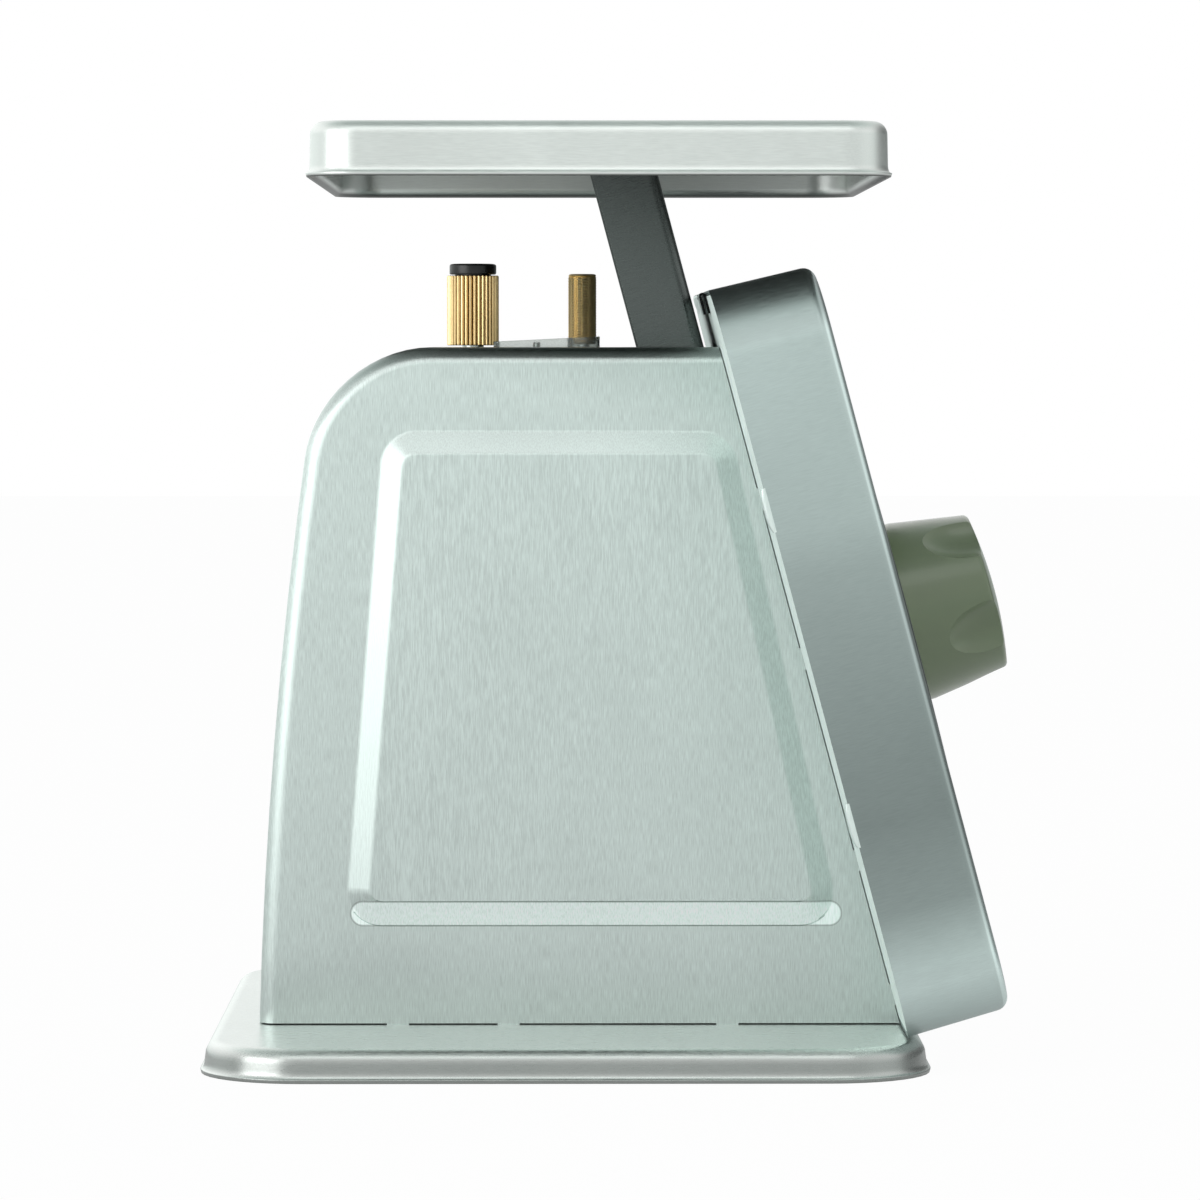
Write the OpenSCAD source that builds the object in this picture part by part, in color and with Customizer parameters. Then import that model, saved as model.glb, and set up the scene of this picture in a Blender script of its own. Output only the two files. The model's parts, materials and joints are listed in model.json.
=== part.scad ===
// Portion control scale: a mechanical dial scale with a lift-off platform.
// +X points towards the dial, +Z is up, and the feet stand on Z = 0.
// The sloping parts are drawn in the dial frame: n along the pointer shaft, u up the dial, Y across.

/* [Casing sheet] */
// Thickness of the stainless casing sheet
sheet = 1; // [0.8:0.1:1.2]

/* [Base pan] */
// Length of the base pan over its lip
base_len = 195.5; // [190:0.5:210]
// Width of the base pan over its lip
base_wid = 216; // [206:1:230]
// Height of the pan's top face above the table
base_top = 8.9; // [8.4:0.1:10]
// Gap between the lip and the table
base_lip_z = 1; // [0.8:0.1:1.6]
// Plan radius of the pan's corners
base_corner = 26; // [20:1:32]
// Radius of the pan's top edge
base_edge = 5; // [4:0.25:5.5]
// How far the lip flares out
base_flare = 2; // [1:0.25:2.5]
// Radius of a rubber foot
foot_r = 6; // [5:0.5:8]
// Distance of the feet from the lip
foot_inset = 21; // [19:0.5:24]

/* [Hood] */
// Width of the hood
hood_wid = 100; // [96:1:110]
// Height of the hood's top face
hood_top = 193.6; // [192.6:0.2:196]
// Distance of the hood's back foot behind the pan's centre
hood_back = 83.65; // [81:0.25:85]
// Lean of the back wall at its foot, in degrees
back_lean_foot = 1.6; // [1:0.1:2.5]
// Lean of the back wall below the top corner, in degrees
back_lean_top = 7.8; // [6:0.1:9]
// Radius of the top rear corner
hood_corner = 35; // [30:1:40]
// Radius of the drawn edges beside the sides
hood_edge = 4.5; // [3.5:0.25:5.5]
// Gap between the hood's foot and the pan
seam_gap = 0.4; // [0.3:0.05:0.6]
// Length of a locking tab
tab_len = 6; // [5:0.5:7]
// How far a locking tab reaches through its slot
tab_reach = 2.6; // [2:0.2:3]
// Height of the embossed side panel above the side
emboss_rise = 2.5; // [1.5:0.25:3]
// Width of the panel's sloping border
emboss_border = 6; // [4:0.5:8]
// Corner radius of the panel
emboss_corner = 9; // [7.5:0.5:11]
// Height of the panel's lower edge
emboss_low = 37.1; // [34:0.5:45]
// Height of the panel's upper edge
emboss_high = 171.2; // [165:0.5:174]

/* [Dial] */
// Tilt of the dial from upright, in degrees
tilt = 15; // [14.6:0.1:15.4]
// Distance of the dial's axis in front of the pan's centre, at the back plate
dial_x = 64.06; // [63.5:0.1:65]
// Width and height of the housing
housing_size = 206; // [203:0.5:208]
// How far the housing's centre lies below the dial's axis
housing_drop = 1.7; // [1.4:0.1:2]
// Corner radius of the housing
housing_corner = 20; // [16:1:26]
// Depth of the housing
housing_depth = 28.5; // [28:0.25:31]
// Radius of the housing's front edge
housing_edge = 5.5; // [4:0.25:5.75]
// How far the drawn wall narrows to the front on each side
housing_draft = 0.7; // [0.4:0.1:1]
// Narrowest width of the housing's rim beside the round opening
front_rim = 10; // [9.75:0.25:12]
// Distance of the turning dial and lens inside the housing's width
dial_margin = 8.6; // [8.3:0.1:8.7]
// Height of the dial face above the back plate's rear
dial_face_n = 17; // [16.9:0.1:18]
// Thickness of the dial face
dial_face_t = 0.8; // [0.6:0.1:1]
// Length of the ring between dial face and lens
dial_ring_len = 7; // [6.6:0.1:7.1]
// Thickness of the lens
lens_t = 2; // [1.6:0.1:2.1]
// Radius of the tare knob
knob_r = 25.4; // [24:0.2:27]
// Radius of the tare knob at its face
knob_face_r = 22.3; // [21:0.1:23]
// Distance of the tare knob's rim from the back plate's rear
knob_rim_n = 56.3; // [54:0.5:58]
// Crown of the tare knob's face
knob_crown = 2; // [1.5:0.1:2.5]
// Length of a fingertip scallop
scallop_len = 15; // [12:0.5:17]
// Width of a fingertip scallop at the face
scallop_wid = 15; // [13:0.5:16]
// Distance of the pointer's tip inside the turning dial
pointer_margin = 14.4; // [10:0.2:24]

/* [Platform] */
// Length of the platform over its lip
tray_len = 154.3; // [146:0.5:160]
// Width of the platform over its lip
tray_wid = 222; // [210:1:230]
// Height of the weighing surface
tray_top = 252.8; // [250:0.2:256]
// Depth of the platform's wall and lip
tray_depth = 13.6; // [12:0.2:15]
// Distance of the platform's centre in front of the pan's centre
tray_x = 8.8; // [6:0.2:12]
// Plan radius of the platform's corners
tray_corner = 14; // [11:0.5:18]
// Radius of the platform's top edge
tray_edge = 4; // [3:0.25:5]
// How far the platform's lip flares out
tray_flare = 2.15; // [1:0.25:2.5]

/* [Post and carriage] */
// Width of the channel post
post_wid = 50; // [46:1:54]
// Depth of the channel's flanges
post_depth = 17.5; // [16:0.25:19]
// Thickness of the channel
post_t = 1.5; // [1.2:0.1:1.8]
// Running space between the back plate and the post
post_gap = 3.6; // [3.4:0.1:4]
// Travel of the carriage at full load
travel = 15; // [12:0.5:15]
// Height of the carriage plate's underside
plate_z = 88; // [86:0.5:89]
// Thickness of the carriage plate
plate_t = 3; // [2:0.25:3.5]
// Length of the parallel links between pivots
link_len = 75; // [74:0.5:77]
// Distance of the link pivots above and below the dial's axis
link_u = 46.6; // [45:0.2:50]
// Radius of the link pins
link_pin_r = 1.5; // [1.2:0.1:1.6]
// Height of the link arms
link_h = 9; // [7:0.5:10]

/* [Adjusters] */
// Distance of the damper's axis behind the pan's centre
damper_x = 25.8; // [25:0.1:28]
// Distance of the zero knob's axis in front of the pan's centre
zero_x = 4.8; // [4:0.1:6]
// Radius of the fluted sleeve
sleeve_r = 7.25; // [6.5:0.05:7.5]
// Length of the fluted sleeve
sleeve_len = 19.5; // [16:0.5:21]
// Number of flutes
flutes = 36; // [24:1:40]
// Radius of the knurled zero knob
zero_r = 3.925; // [3.4:0.025:4.1]
// Height of the zero knob above the hood
zero_h = 20.5; // [18:0.5:23]

/* [Springs and damping] */
// Number of curls of the load spring
spring_curls = 16; // [12:1:18]
// Mean radius of the load spring
spring_r = 6; // [5.5:0.1:6.4]
// Wire diameter of the load spring
wire_d = 1.2; // [1:0.1:1.6]
// Bore radius of the dashpot cylinder
dashpot_r = 11.5; // [10.5:0.25:12]
// Length of the dashpot cylinder
dashpot_len = 60; // [54:1:63]
// Pitch radius of the pinion
pinion_r = 2.5; // [2.4:0.1:2.6]

/* [Fits] */
// Radial clearance of a shaft that turns in its bearing
run_fit = 0.05; // [0.03:0.01:0.08]
// Radial clearance of a pin or screw that is held fast
fast_fit = 0.02; // [0.01:0.01:0.04]
// Clearance round a piece that passes through an opening
pass_fit = 0.5; // [0.4:0.05:0.7]
// Clearance between faces that slide past each other
face_fit = 0.3; // [0.2:0.05:0.4]

/* [Hidden] */
$fn = 64;
ARC = 6;
ATOM = 0.01;
steel = [0.74, 0.76, 0.76];
dark_steel = [0.52, 0.55, 0.55];
brass = [0.72, 0.56, 0.28];
rubber = [0.1, 0.1, 0.1];
olive = [0.45, 0.47, 0.4];
nylon = [0.85, 0.86, 0.8];

// Places that several pieces share
hood_foot = base_top + seam_gap;
fold_t = 1.2;
dial_z = hood_foot + (housing_size / 2 + housing_drop) * cos(tilt) + fold_t * sin(tilt);
opening_r = housing_size / 2 - front_rim;
dial_r = housing_size / 2 - dial_margin;
pointer_len = dial_r - pointer_margin;
front_reach = dial_x + knob_rim_n * cos(tilt) + (knob_face_r - 1.63) * sin(tilt);
centre_x = (front_reach - base_len / 2) / 2;
hood_tab_x = [-45.7, -15.5, 44.2];
hood_tab_u = [43, -2, -59, tab_len - housing_size / 2];
plate_n0 = 0.2;
plate_n1 = plate_n0 + sheet;
web_n = plate_n0 - post_gap;
web_in = web_n - post_t;
flange_n = web_n - post_depth;
pin_n = -11;
link_drop = travel / 2;
link_run = sqrt(link_len * link_len - link_drop * link_drop);
link_angle = asin(link_drop / link_len);
link_reach = link_len - link_run;
arm_y = post_wid / 2 + 2;
arm_t = 2;
side_y = arm_y + arm_t + 2;
side_t = 1.5;
chassis_z = hood_top - sheet - 6.6;
top_t = 2;
top_flange = 14;
chassis_x0 = -45;
chassis_x1 = 14;
stop_x = 25;
stop_r = 4;
plate_x0 = -damper_x - 12;
plate_y = post_wid / 2 - post_t - 1.5;
dash_wall = 1.5;
dash_z1 = chassis_z - top_t - 12;
dash_z0 = dash_z1 - dashpot_len;
neck_r = 4;
rod_r = 2;
rod_top = dash_z1 - 16;
needle_r = 1.5;
shank_r = 3;
screw_r = 2;
hanger_z0 = 158;
hanger_z1 = 172;
guide_r = 1.5;
guide_y = 12;
spring_steps = 8;
plug_r = spring_r * cos(180 / spring_steps) - wire_d / 2 - face_fit;
hanger_travel = 1.4;
plate_top = plate_z + plate_t;
spring_z0 = plate_top + face_fit + wire_d / 2;
spring_z1 = hanger_z0 - hanger_travel - face_fit - wire_d / 2 - 0.2;
shaft_r = 1;
bush_r = 3;
bridge_n = -16;
bridge_t = 1.5;
bridge_u = 8;
bridge_y = 9;
bridge_foot = 6;
rack_n0 = -10;
rack_n1 = -6;
rack_head_u = 28;
rack_tail_u = 40;
rack_back_y = pinion_r + 3.4;
lens_n0 = dial_face_n + dial_face_t + dial_ring_len;
lens_n1 = lens_n0 + lens_t;
well_r = dial_r + 0.6;
well_t = 1.5;
knob_n0 = lens_n1 + 0.6;
knob_screw_r = 1.55;
sleeve_z0 = hood_top + 0.5;
sleeve_z1 = sleeve_z0 + sleeve_len;
tray_in_x = tray_len / 2 - tray_flare - sheet;
tray_in_y = tray_wid / 2 - tray_flare - sheet;
spider_t = 2;
pad_h = 1.75;
spider_z = tray_top - sheet - 0.05 - pad_h - spider_t;

// Gear teeth of pinion and rack
teeth = 10;
gear_m = 2 * pinion_r / teeth;
pressure = 25;
tooth_tip = 0.6 * gear_m;
tooth_root = 0.85 * gear_m;
backlash = 0.06;
tooth_pitch = PI * gear_m;

function unit(v) = v / norm(v);
function flip(points) = [for (i = [len(points) - 1:-1:0]) points[i]];

// Height at which the plane n = n0 of the dial frame stands over x, and the reverse
function plane_x(n0, z) = dial_x + (n0 - (z - dial_z) * sin(tilt)) / cos(tilt);
function dial_point(n0, u0) = [dial_x + n0 * cos(tilt) - u0 * sin(tilt), dial_z + n0 * sin(tilt) + u0 * cos(tilt)];

// Rounded rectangle, counterclockwise
function round_rect(a, b, r) = [
    for (c = [0:3])
        for (i = [0:ARC])
            let (
                angle = 90 * (c + i / ARC),
                cx = (c == 0 || c == 3 ? 1 : -1) * (a / 2 - r),
                cy = (c < 2 ? 1 : -1) * (b / 2 - r)
            )
            [cx + r * cos(angle), cy + r * sin(angle)]
];

// Convex outline moved inwards by d on every side
function inset(points, d) = [
    for (i = [0:len(points) - 1])
        let (
            n = len(points),
            p = points[i],
            to_last = unit(points[(i + n - 1) % n] - p),
            to_next = unit(points[(i + 1) % n] - p),
            half = acos(to_last * to_next) / 2
        )
        p + unit(to_last + to_next) * d / sin(half)
];

// Convex outline with its corners rounded
function rounded(points, r) = [
    for (i = [0:len(points) - 1])
        let (
            n = len(points),
            p = points[i],
            to_last = unit(points[(i + n - 1) % n] - p),
            to_next = unit(points[(i + 1) % n] - p),
            half = acos(to_last * to_next) / 2,
            centre = p + unit(to_last + to_next) * r / sin(half),
            from = p + to_last * r / tan(half) - centre,
            to = p + to_next * r / tan(half) - centre,
            sweep = 180 - 2 * half
        )
        for (k = [0:ARC])
            centre + (from * sin((1 - k / ARC) * sweep) + to * sin(k / ARC * sweep)) / sin(sweep)
];

// Solid skinned over a list of outlines that have the same number of points
module loft(rings) {
    n = len(rings[0]);
    last = len(rings) - 1;
    sides = [
        for (i = [0:last - 1])
            for (j = [0:n - 1])
                let (k = (j + 1) % n)
                for (f = [[i * n + j, (i + 1) * n + j, (i + 1) * n + k], [i * n + j, (i + 1) * n + k, i * n + k]])
                    f
    ];
    bottom = [[for (j = [0:n - 1]) j]];
    top = [[for (j = [n - 1:-1:0]) last * n + j]];
    polyhedron(points = [for (r = rings) for (p = r) p], faces = concat(sides, bottom, top), convexity = 6);
}

// Heights and insets of a pressed pan's skin, from its lip up to its top face, k inside the outer skin
function pan_levels(z0, z1, flare, edge, draft, k) = concat(
    [for (i = [0:3]) [z0 + (i == 0 && k > 0 ? -1 : flare * (1 - cos(30 * i))), k + flare * sin(30 * i)]],
    [for (i = [0:4]) [z1 - edge + (edge - k) * sin(22.5 * i), flare + draft + k + (edge - k) * (1 - cos(22.5 * i))]]
);

module pan_skin(a, b, corner, levels) {
    loft([for (s = levels) [for (p = round_rect(a - 2 * s[1], b - 2 * s[1], corner - s[1])) [p[0], p[1], s[0]]]]);
}

// Inverted pan, drawn from sheet
module drawn_pan(a, b, corner, z0, z1, flare, edge, draft) {
    difference() {
        pan_skin(a, b, corner, pan_levels(z0, z1, flare, edge, draft, 0));
        pan_skin(a, b, corner, pan_levels(z0, z1, flare, edge, draft, sheet));
    }
}

module dial_frame() translate([dial_x, 0, dial_z]) rotate([0, -tilt, 0]) children();

// Children drawn upwards from the table stand along the pointer shaft, from n0
module on_shaft(n0 = 0) dial_frame() translate([n0, 0, 0]) rotate([0, 90, 0]) children();

// Box in the dial frame, from low to high corner in n, Y and u
module dial_box(low, high) dial_frame() translate(low) cube(high - low);

module tube(r_out, r_in, h) {
    difference() {
        cylinder(r = r_out, h = h);
        translate([0, 0, -1]) cylinder(r = r_in, h = h + 2);
    }
}

module both_sides() {
    children();
    mirror([0, 1, 0]) children();
}

// Rod along Y from y0 to y1 at x, z
module cross_rod(x, z, r, y0, y1) translate([x, y1, z]) rotate([90, 0, 0]) cylinder(r = r, h = y1 - y0);

module base_screw_places() {
    for (x = [chassis_x0 - 5, chassis_x1 - 4])
        both_sides() translate([x, side_y + side_t + 7, 0]) children();
    translate([stop_x, 0, 0]) children();
}

module foot_places() {
    for (x = [-1, 1])
        for (y = [-1, 1])
            translate([x * (base_len / 2 - foot_inset), y * (base_wid / 2 - foot_inset), 0]) children();
}

module base_pan() color(steel) {
    difference() {
        drawn_pan(base_len, base_wid, base_corner, base_lip_z, base_top, base_flare, base_edge, 0.2);
        for (x = hood_tab_x)
            both_sides()
                translate([x - tab_len / 2 - face_fit, hood_wid / 2 - sheet - 0.2, base_top - sheet - 1])
                    cube([tab_len + 2 * face_fit, sheet + 0.4, sheet + 2]);
        base_screw_places() translate([0, 0, base_top - sheet - 1]) cylinder(r = 1.5 + fast_fit, h = sheet + 2);
    }
}

module foot_pads() color(rubber) {
    foot_places() rotate_extrude()
        polygon([[0, 0], [foot_r - 1, 0], [foot_r, 1], [foot_r, base_top - sheet], [0, base_top - sheet]]);
}

module base_screws() color(dark_steel) {
    base_screw_places() {
        translate([0, 0, base_top - sheet - 1.8]) cylinder(r = 2.8, h = 1.8);
        translate([0, 0, base_top - sheet - ATOM]) cylinder(r = 1.5, h = 6);
    }
}

// Side outline of the hood, d inside its outer skin, from the back foot over the top to the front foot
hood_tangent_z = hood_top - hood_corner + hood_corner * sin(back_lean_top);
function hood_back_x(z) =
    let (rise = hood_tangent_z - hood_foot, t = (z - hood_foot) / rise)
    -hood_back + rise * (tan(back_lean_foot) * t + (tan(back_lean_top) - tan(back_lean_foot)) * t * t / 2);
function hood_back_lean(z) =
    atan(tan(back_lean_foot) + (tan(back_lean_top) - tan(back_lean_foot)) * (z - hood_foot) / (hood_tangent_z - hood_foot));
hood_corner_x = hood_back_x(hood_tangent_z) + hood_corner * cos(back_lean_top);
hood_corner_z = hood_top - hood_corner;
function hood_outline(d, over) = concat(
    [[hood_back_x(hood_foot) + d, hood_foot - over]],
    [
        for (i = [1:7])
            let (z = hood_foot + (hood_tangent_z - hood_foot) * i / 7, lean = hood_back_lean(z))
            [hood_back_x(z) + d * cos(lean), z - d * sin(lean)]
    ],
    [
        for (i = [1:9])
            let (angle = 180 - back_lean_top - (90 - back_lean_top) * i / 9, r = hood_corner - d)
            [hood_corner_x + r * cos(angle), hood_corner_z + r * sin(angle)]
    ],
    [[plane_x(over, hood_top - d), hood_top - d], [plane_x(over, hood_foot - over), hood_foot - over]]
);

module hood_skin(k, over) {
    r = hood_edge - k;
    half = hood_wid / 2 - k;
    levels = concat(
        [for (i = [0:4]) [-half + r * (1 - cos(22.5 * i)), k + r * (1 - sin(22.5 * i))]],
        [for (i = [4:-1:0]) [half - r * (1 - cos(22.5 * i)), k + r * (1 - sin(22.5 * i))]]
    );
    loft([for (s = levels) [for (p = hood_outline(s[1], over)) [p[0], s[0], p[1]]]]);
}

// The embossed panel's outline at its foot
emboss_outline = [
    [hood_back_x(emboss_low) + 22, emboss_low],
    [hood_back_x(emboss_high - 20) + 22.6, emboss_high],
    [plane_x(0, emboss_high) - 2.6, emboss_high],
    [plane_x(0, emboss_low) - 8.4, emboss_low]
];

module emboss(k) {
    foot = rounded(inset(emboss_outline, 0.4 * k), emboss_corner);
    crest = rounded(inset(emboss_outline, emboss_border + 0.4 * k), emboss_corner - 2);
    y0 = hood_wid / 2 - k - 0.05;
    y1 = hood_wid / 2 - k + emboss_rise;
    loft([[for (p = foot) [p[0], y0, p[1]]], [for (p = crest) [p[0], y1, p[1]]]]);
}

module hood() color(steel) {
    difference() {
        union() {
            difference() {
                hood_skin(0, 0);
                hood_skin(sheet, 1);
            }
            both_sides() emboss(0);
            for (x = hood_tab_x)
                both_sides()
                    translate([x - tab_len / 2, hood_wid / 2 - sheet, base_top - sheet - tab_reach])
                        cube([tab_len, sheet, sheet + tab_reach + seam_gap + 1]);
            for (u = hood_tab_u)
                both_sides()
                    dial_box([-2, hood_wid / 2 - sheet, u - tab_len / 2], [plate_n1 + 1.2, hood_wid / 2, u + tab_len / 2]);
        }
        both_sides() emboss(sheet);
        post_slot();
        translate([-damper_x, 0, hood_top - 3]) cylinder(r = shank_r + pass_fit, h = 6);
        translate([zero_x, 0, hood_top - 3]) cylinder(r = screw_r + pass_fit, h = 6);
        translate([clip_x, 0, hood_top - 3]) cylinder(r = 1 + fast_fit, h = 6);
    }
}

// Slot for the post in the hood's top, open at the front
module post_slot() {
    back = plane_x(flange_n, hood_top + travel) - 1.6;
    translate([back, -post_wid / 2 - 1.5, hood_top - 3]) cube([60, post_wid + 3, 6]);
}

clip_x = -8;
clip_r = 4.9;
clip_left = -damper_x + sleeve_r + 0.35;

module detent_clip() color(nylon, 0.6) {
    right = zero_x + clip_r;
    difference() {
        intersection() {
            translate([0, 20, 0]) rotate([90, 0, 0]) linear_extrude(height = 40)
                polygon([[clip_left - 5, hood_top], [right, hood_top], [right, hood_top + 3], [clip_left - 5, hood_top + 1.4]]);
            union() {
                translate([zero_x, 0, hood_top - 1]) cylinder(r = clip_r, h = 8);
                translate([clip_left - 3, -clip_r, hood_top - 1]) cube([zero_x - clip_left + 3, 2 * clip_r, 8]);
            }
        }
        translate([-damper_x, 0, hood_top - 1]) cylinder(r = sleeve_r + 0.35, h = 8);
        translate([zero_x, 0, hood_top - 1]) cylinder(r = zero_r + 0.4, h = 8);
        translate([clip_x, 0, hood_top - 1]) cylinder(r = 1 + fast_fit, h = 2.4);
    }
}

module clip_screw() color(dark_steel) {
    translate([clip_x, 0, hood_top - sheet - 1.4]) cylinder(r = 2.2, h = 1.4);
    translate([clip_x, 0, hood_top - sheet - ATOM]) cylinder(r = 1, h = 2.2);
}

// Frame pivots of the two links, straight behind their front pins
function front_pin(side) = dial_point(pin_n, side * link_u);
function frame_pin(side) = front_pin(side) - [link_run, link_drop];

module chassis_side() {
    low = frame_pin(-1);
    high = frame_pin(1);
    difference() {
        union() {
            translate([0, side_y + side_t, 0]) rotate([90, 0, 0]) linear_extrude(height = side_t)
                polygon([
                    [chassis_x0 - 13, base_top], [chassis_x1 + 2, base_top], [low[0] + 14, low[1] + 10],
                    [chassis_x1, chassis_z - 34], [chassis_x1, chassis_z], [chassis_x0, chassis_z],
                    [high[0] - 12, high[1]], [chassis_x0 - 13, base_top + 50]
                ]);
            translate([chassis_x0 - 13, side_y, base_top]) cube([chassis_x1 + 15 - chassis_x0, 14, side_t]);
        }
        for (p = [low, high]) cross_rod(p[0], p[1], link_pin_r + fast_fit, side_y - 1, side_y + side_t + 1);
        for (x = [chassis_x0 + 7, chassis_x1 - 8])
            cross_rod(x, chassis_z - 8, 1.5 + fast_fit, side_y - 1, side_y + side_t + 1);
        base_screw_places() translate([0, 0, base_top - 1]) cylinder(r = 1.5 + fast_fit, h = side_t + 2);
    }
}

module chassis_left() color(dark_steel) chassis_side();
module chassis_right() color(dark_steel) mirror([0, 1, 0]) chassis_side();

module chassis_top() color(dark_steel) {
    y = side_y - 0.1;
    difference() {
        translate([chassis_x0, -y, chassis_z - top_flange]) cube([chassis_x1 - chassis_x0, 2 * y, top_flange]);
        translate([chassis_x0 - 1, -y + side_t, chassis_z - top_flange - 1])
            cube([chassis_x1 - chassis_x0 + 2, 2 * y - 2 * side_t, top_flange + 1 - top_t]);
        translate([-damper_x, 0, chassis_z - 4]) cylinder(r = neck_r + fast_fit, h = 6);
        translate([zero_x, 0, chassis_z - 4]) cylinder(r = screw_r + run_fit, h = 6);
        translate([zero_x, guide_y, chassis_z - 4]) cylinder(r = guide_r + fast_fit, h = 6);
        for (x = [chassis_x0 + 7, chassis_x1 - 8]) cross_rod(x, chassis_z - 8, 1.5 + fast_fit, -y - 1, y + 1);
    }
}

module chassis_screws() color(steel) {
    for (x = [chassis_x0 + 7, chassis_x1 - 8])
        both_sides() {
            cross_rod(x, chassis_z - 8, 1.5, side_y - 4, side_y + side_t + ATOM);
            cross_rod(x, chassis_z - 8, 2.8, side_y + side_t, side_y + side_t + 1.8);
        }
}

module link_pivot_pins() color(steel) {
    for (side = [-1, 1])
        both_sides() {
            p = frame_pin(side);
            cross_rod(p[0], p[1], link_pin_r, arm_y - 0.2, side_y + side_t + 1.5);
            cross_rod(p[0], p[1], link_pin_r + 1.1, arm_y - 1.2, arm_y - 0.1);
        }
}

module pivot_clips() color(dark_steel) {
    for (side = [-1, 1])
        both_sides() {
            p = frame_pin(side);
            difference() {
                cross_rod(p[0], p[1], link_pin_r + 1.7, side_y + side_t + 0.1, side_y + side_t + 0.8);
                cross_rod(p[0], p[1], link_pin_r + fast_fit, side_y, side_y + side_t + 2);
            }
        }
}

// Parallel link with two arms and a cross web, between frame pin and front pin
module link_body(side) {
    p = frame_pin(side);
    translate([p[0], 0, p[1]]) rotate([0, -link_angle, 0]) {
        both_sides() difference() {
            union() {
                cross_rod(0, 0, link_h / 2, arm_y, arm_y + arm_t);
                cross_rod(link_len, 0, link_h / 2, arm_y, arm_y + arm_t);
                translate([0, arm_y, -link_h / 2]) cube([link_len, arm_t, link_h]);
            }
            cross_rod(0, 0, link_pin_r + run_fit, arm_y - 1, arm_y + arm_t + 1);
            cross_rod(link_len, 0, link_pin_r + fast_fit, arm_y - 1, arm_y + arm_t + 1);
        }
        translate([link_len - 28, -arm_y - ATOM, -link_h / 2]) cube([10, 2 * arm_y + 2 * ATOM, 1.5]);
    }
}

module link_pin(side) {
    p = front_pin(side);
    cross_rod(p[0], p[1], link_pin_r, -arm_y - arm_t - 1, arm_y + arm_t + 1);
    both_sides() cross_rod(p[0], p[1], link_pin_r + 1.1, arm_y + arm_t + 0.1, arm_y + arm_t + 1.1);
}

module upper_link() color(steel) link_body(1);
module lower_link() color(steel) link_body(-1);
module upper_link_pin() color(dark_steel) link_pin(1);
module lower_link_pin() color(dark_steel) link_pin(-1);

// Housing, with its rear edge folded over the back plate in eight tabs
fold_reach = 6;
fold_len = 12;
fold_u = 43;
fold_y = 40;

module fold_tab(at) {
    half = housing_size / 2;
    translate([at - fold_len / 2, half - sheet, -fold_t]) cube([fold_len, sheet, fold_t + plate_n0 + 0.5]);
    translate([at - fold_len / 2, half - fold_reach, -fold_t]) cube([fold_len, fold_reach, fold_t]);
}

module dial_housing() color(steel) {
    difference() {
        on_shaft() translate([housing_drop, 0, 0]) {
            drawn_pan(housing_size, housing_size, housing_corner, plate_n0, housing_depth, 0, housing_edge, housing_draft);
            for (turn = [0, 180])
                rotate([0, 0, turn]) {
                    fold_tab(fold_u);
                    fold_tab(-fold_u);
                }
            for (turn = [90, 270])
                rotate([0, 0, turn]) {
                    fold_tab(fold_y);
                    fold_tab(-fold_y);
                }
        }
        on_shaft(housing_depth - 5) cylinder(r = opening_r, h = 10);
    }
}

module back_plate() color(steel) {
    size = housing_size - 2 * sheet - 0.6;
    difference() {
        on_shaft() translate([housing_drop, 0, 0]) translate([0, 0, plate_n0]) linear_extrude(height = sheet)
            polygon(round_rect(size, size, housing_corner - sheet - 0.3));
        for (u = hood_tab_u)
            both_sides()
                dial_box(
                    [plate_n0 - 1, hood_wid / 2 - sheet - 0.2, u - tab_len / 2 - face_fit],
                    [plate_n1 + 1, hood_wid / 2 + 0.2, u + tab_len / 2 + face_fit]
                );
        on_shaft(-2) cylinder(r = bush_r + fast_fit, h = 6);
        bridge_screw_places() translate([0, 0, -2]) cylinder(r = 1.2 + fast_fit, h = 6);
    }
}

module dial_well() color(dark_steel) {
    on_shaft(plate_n1) tube(well_r + well_t, well_r, lens_n1 - plate_n1 - 0.2);
    on_shaft(dial_face_n - face_fit - 1.5) tube(well_r + ATOM, opening_r - 5, 1.5);
}

module lens_gasket() color(rubber) {
    on_shaft(lens_n1 + face_fit) tube(dial_r, opening_r + 0.3, housing_depth - sheet - lens_n1 - face_fit);
}

module bridge_screw_places() {
    for (u = [-4.5, 4.5])
        for (y = [-1, 1])
            dial_frame() translate([0, y * (bridge_y + 3.2), u]) rotate([0, 90, 0]) children();
}

module movement_bridge() color(brass) {
    difference() {
        union() {
            dial_box([bridge_n, -bridge_y, -bridge_u], [bridge_n + bridge_t, bridge_y, bridge_u]);
            both_sides() {
                dial_box([bridge_n, bridge_y - bridge_t, -bridge_u], [plate_n0, bridge_y, bridge_u]);
                dial_box(
                    [plate_n0 - bridge_t, bridge_y - bridge_t, -bridge_u],
                    [plate_n0, bridge_y + bridge_foot, bridge_u]
                );
            }
        }
        on_shaft(bridge_n - 1) cylinder(r = bush_r + fast_fit, h = bridge_t + 2);
        bridge_screw_places() translate([0, 0, -4]) cylinder(r = 1.2 + fast_fit, h = 6);
    }
}

module bridge_screws() color(steel) {
    bridge_screw_places() {
        translate([0, 0, plate_n0 - bridge_t - 1.2]) cylinder(r = 2, h = 1.2);
        translate([0, 0, plate_n0 - bridge_t - ATOM]) cylinder(r = 1.2, h = bridge_t + sheet + 0.8);
    }
}

module front_bushing() color(brass) {
    on_shaft(plate_n0 - 0.6) tube(bush_r, shaft_r + run_fit, sheet + 1.8);
    on_shaft(plate_n1) tube(bush_r + 1.5, shaft_r + run_fit, 1.2);
}

module rear_bushing() color(brass) {
    on_shaft(bridge_n - 0.8) tube(bush_r, shaft_r + run_fit, bridge_t + 1.3);
    on_shaft(bridge_n - 1.6) tube(bush_r + 1.2, shaft_r + run_fit, 1.6);
}

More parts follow.
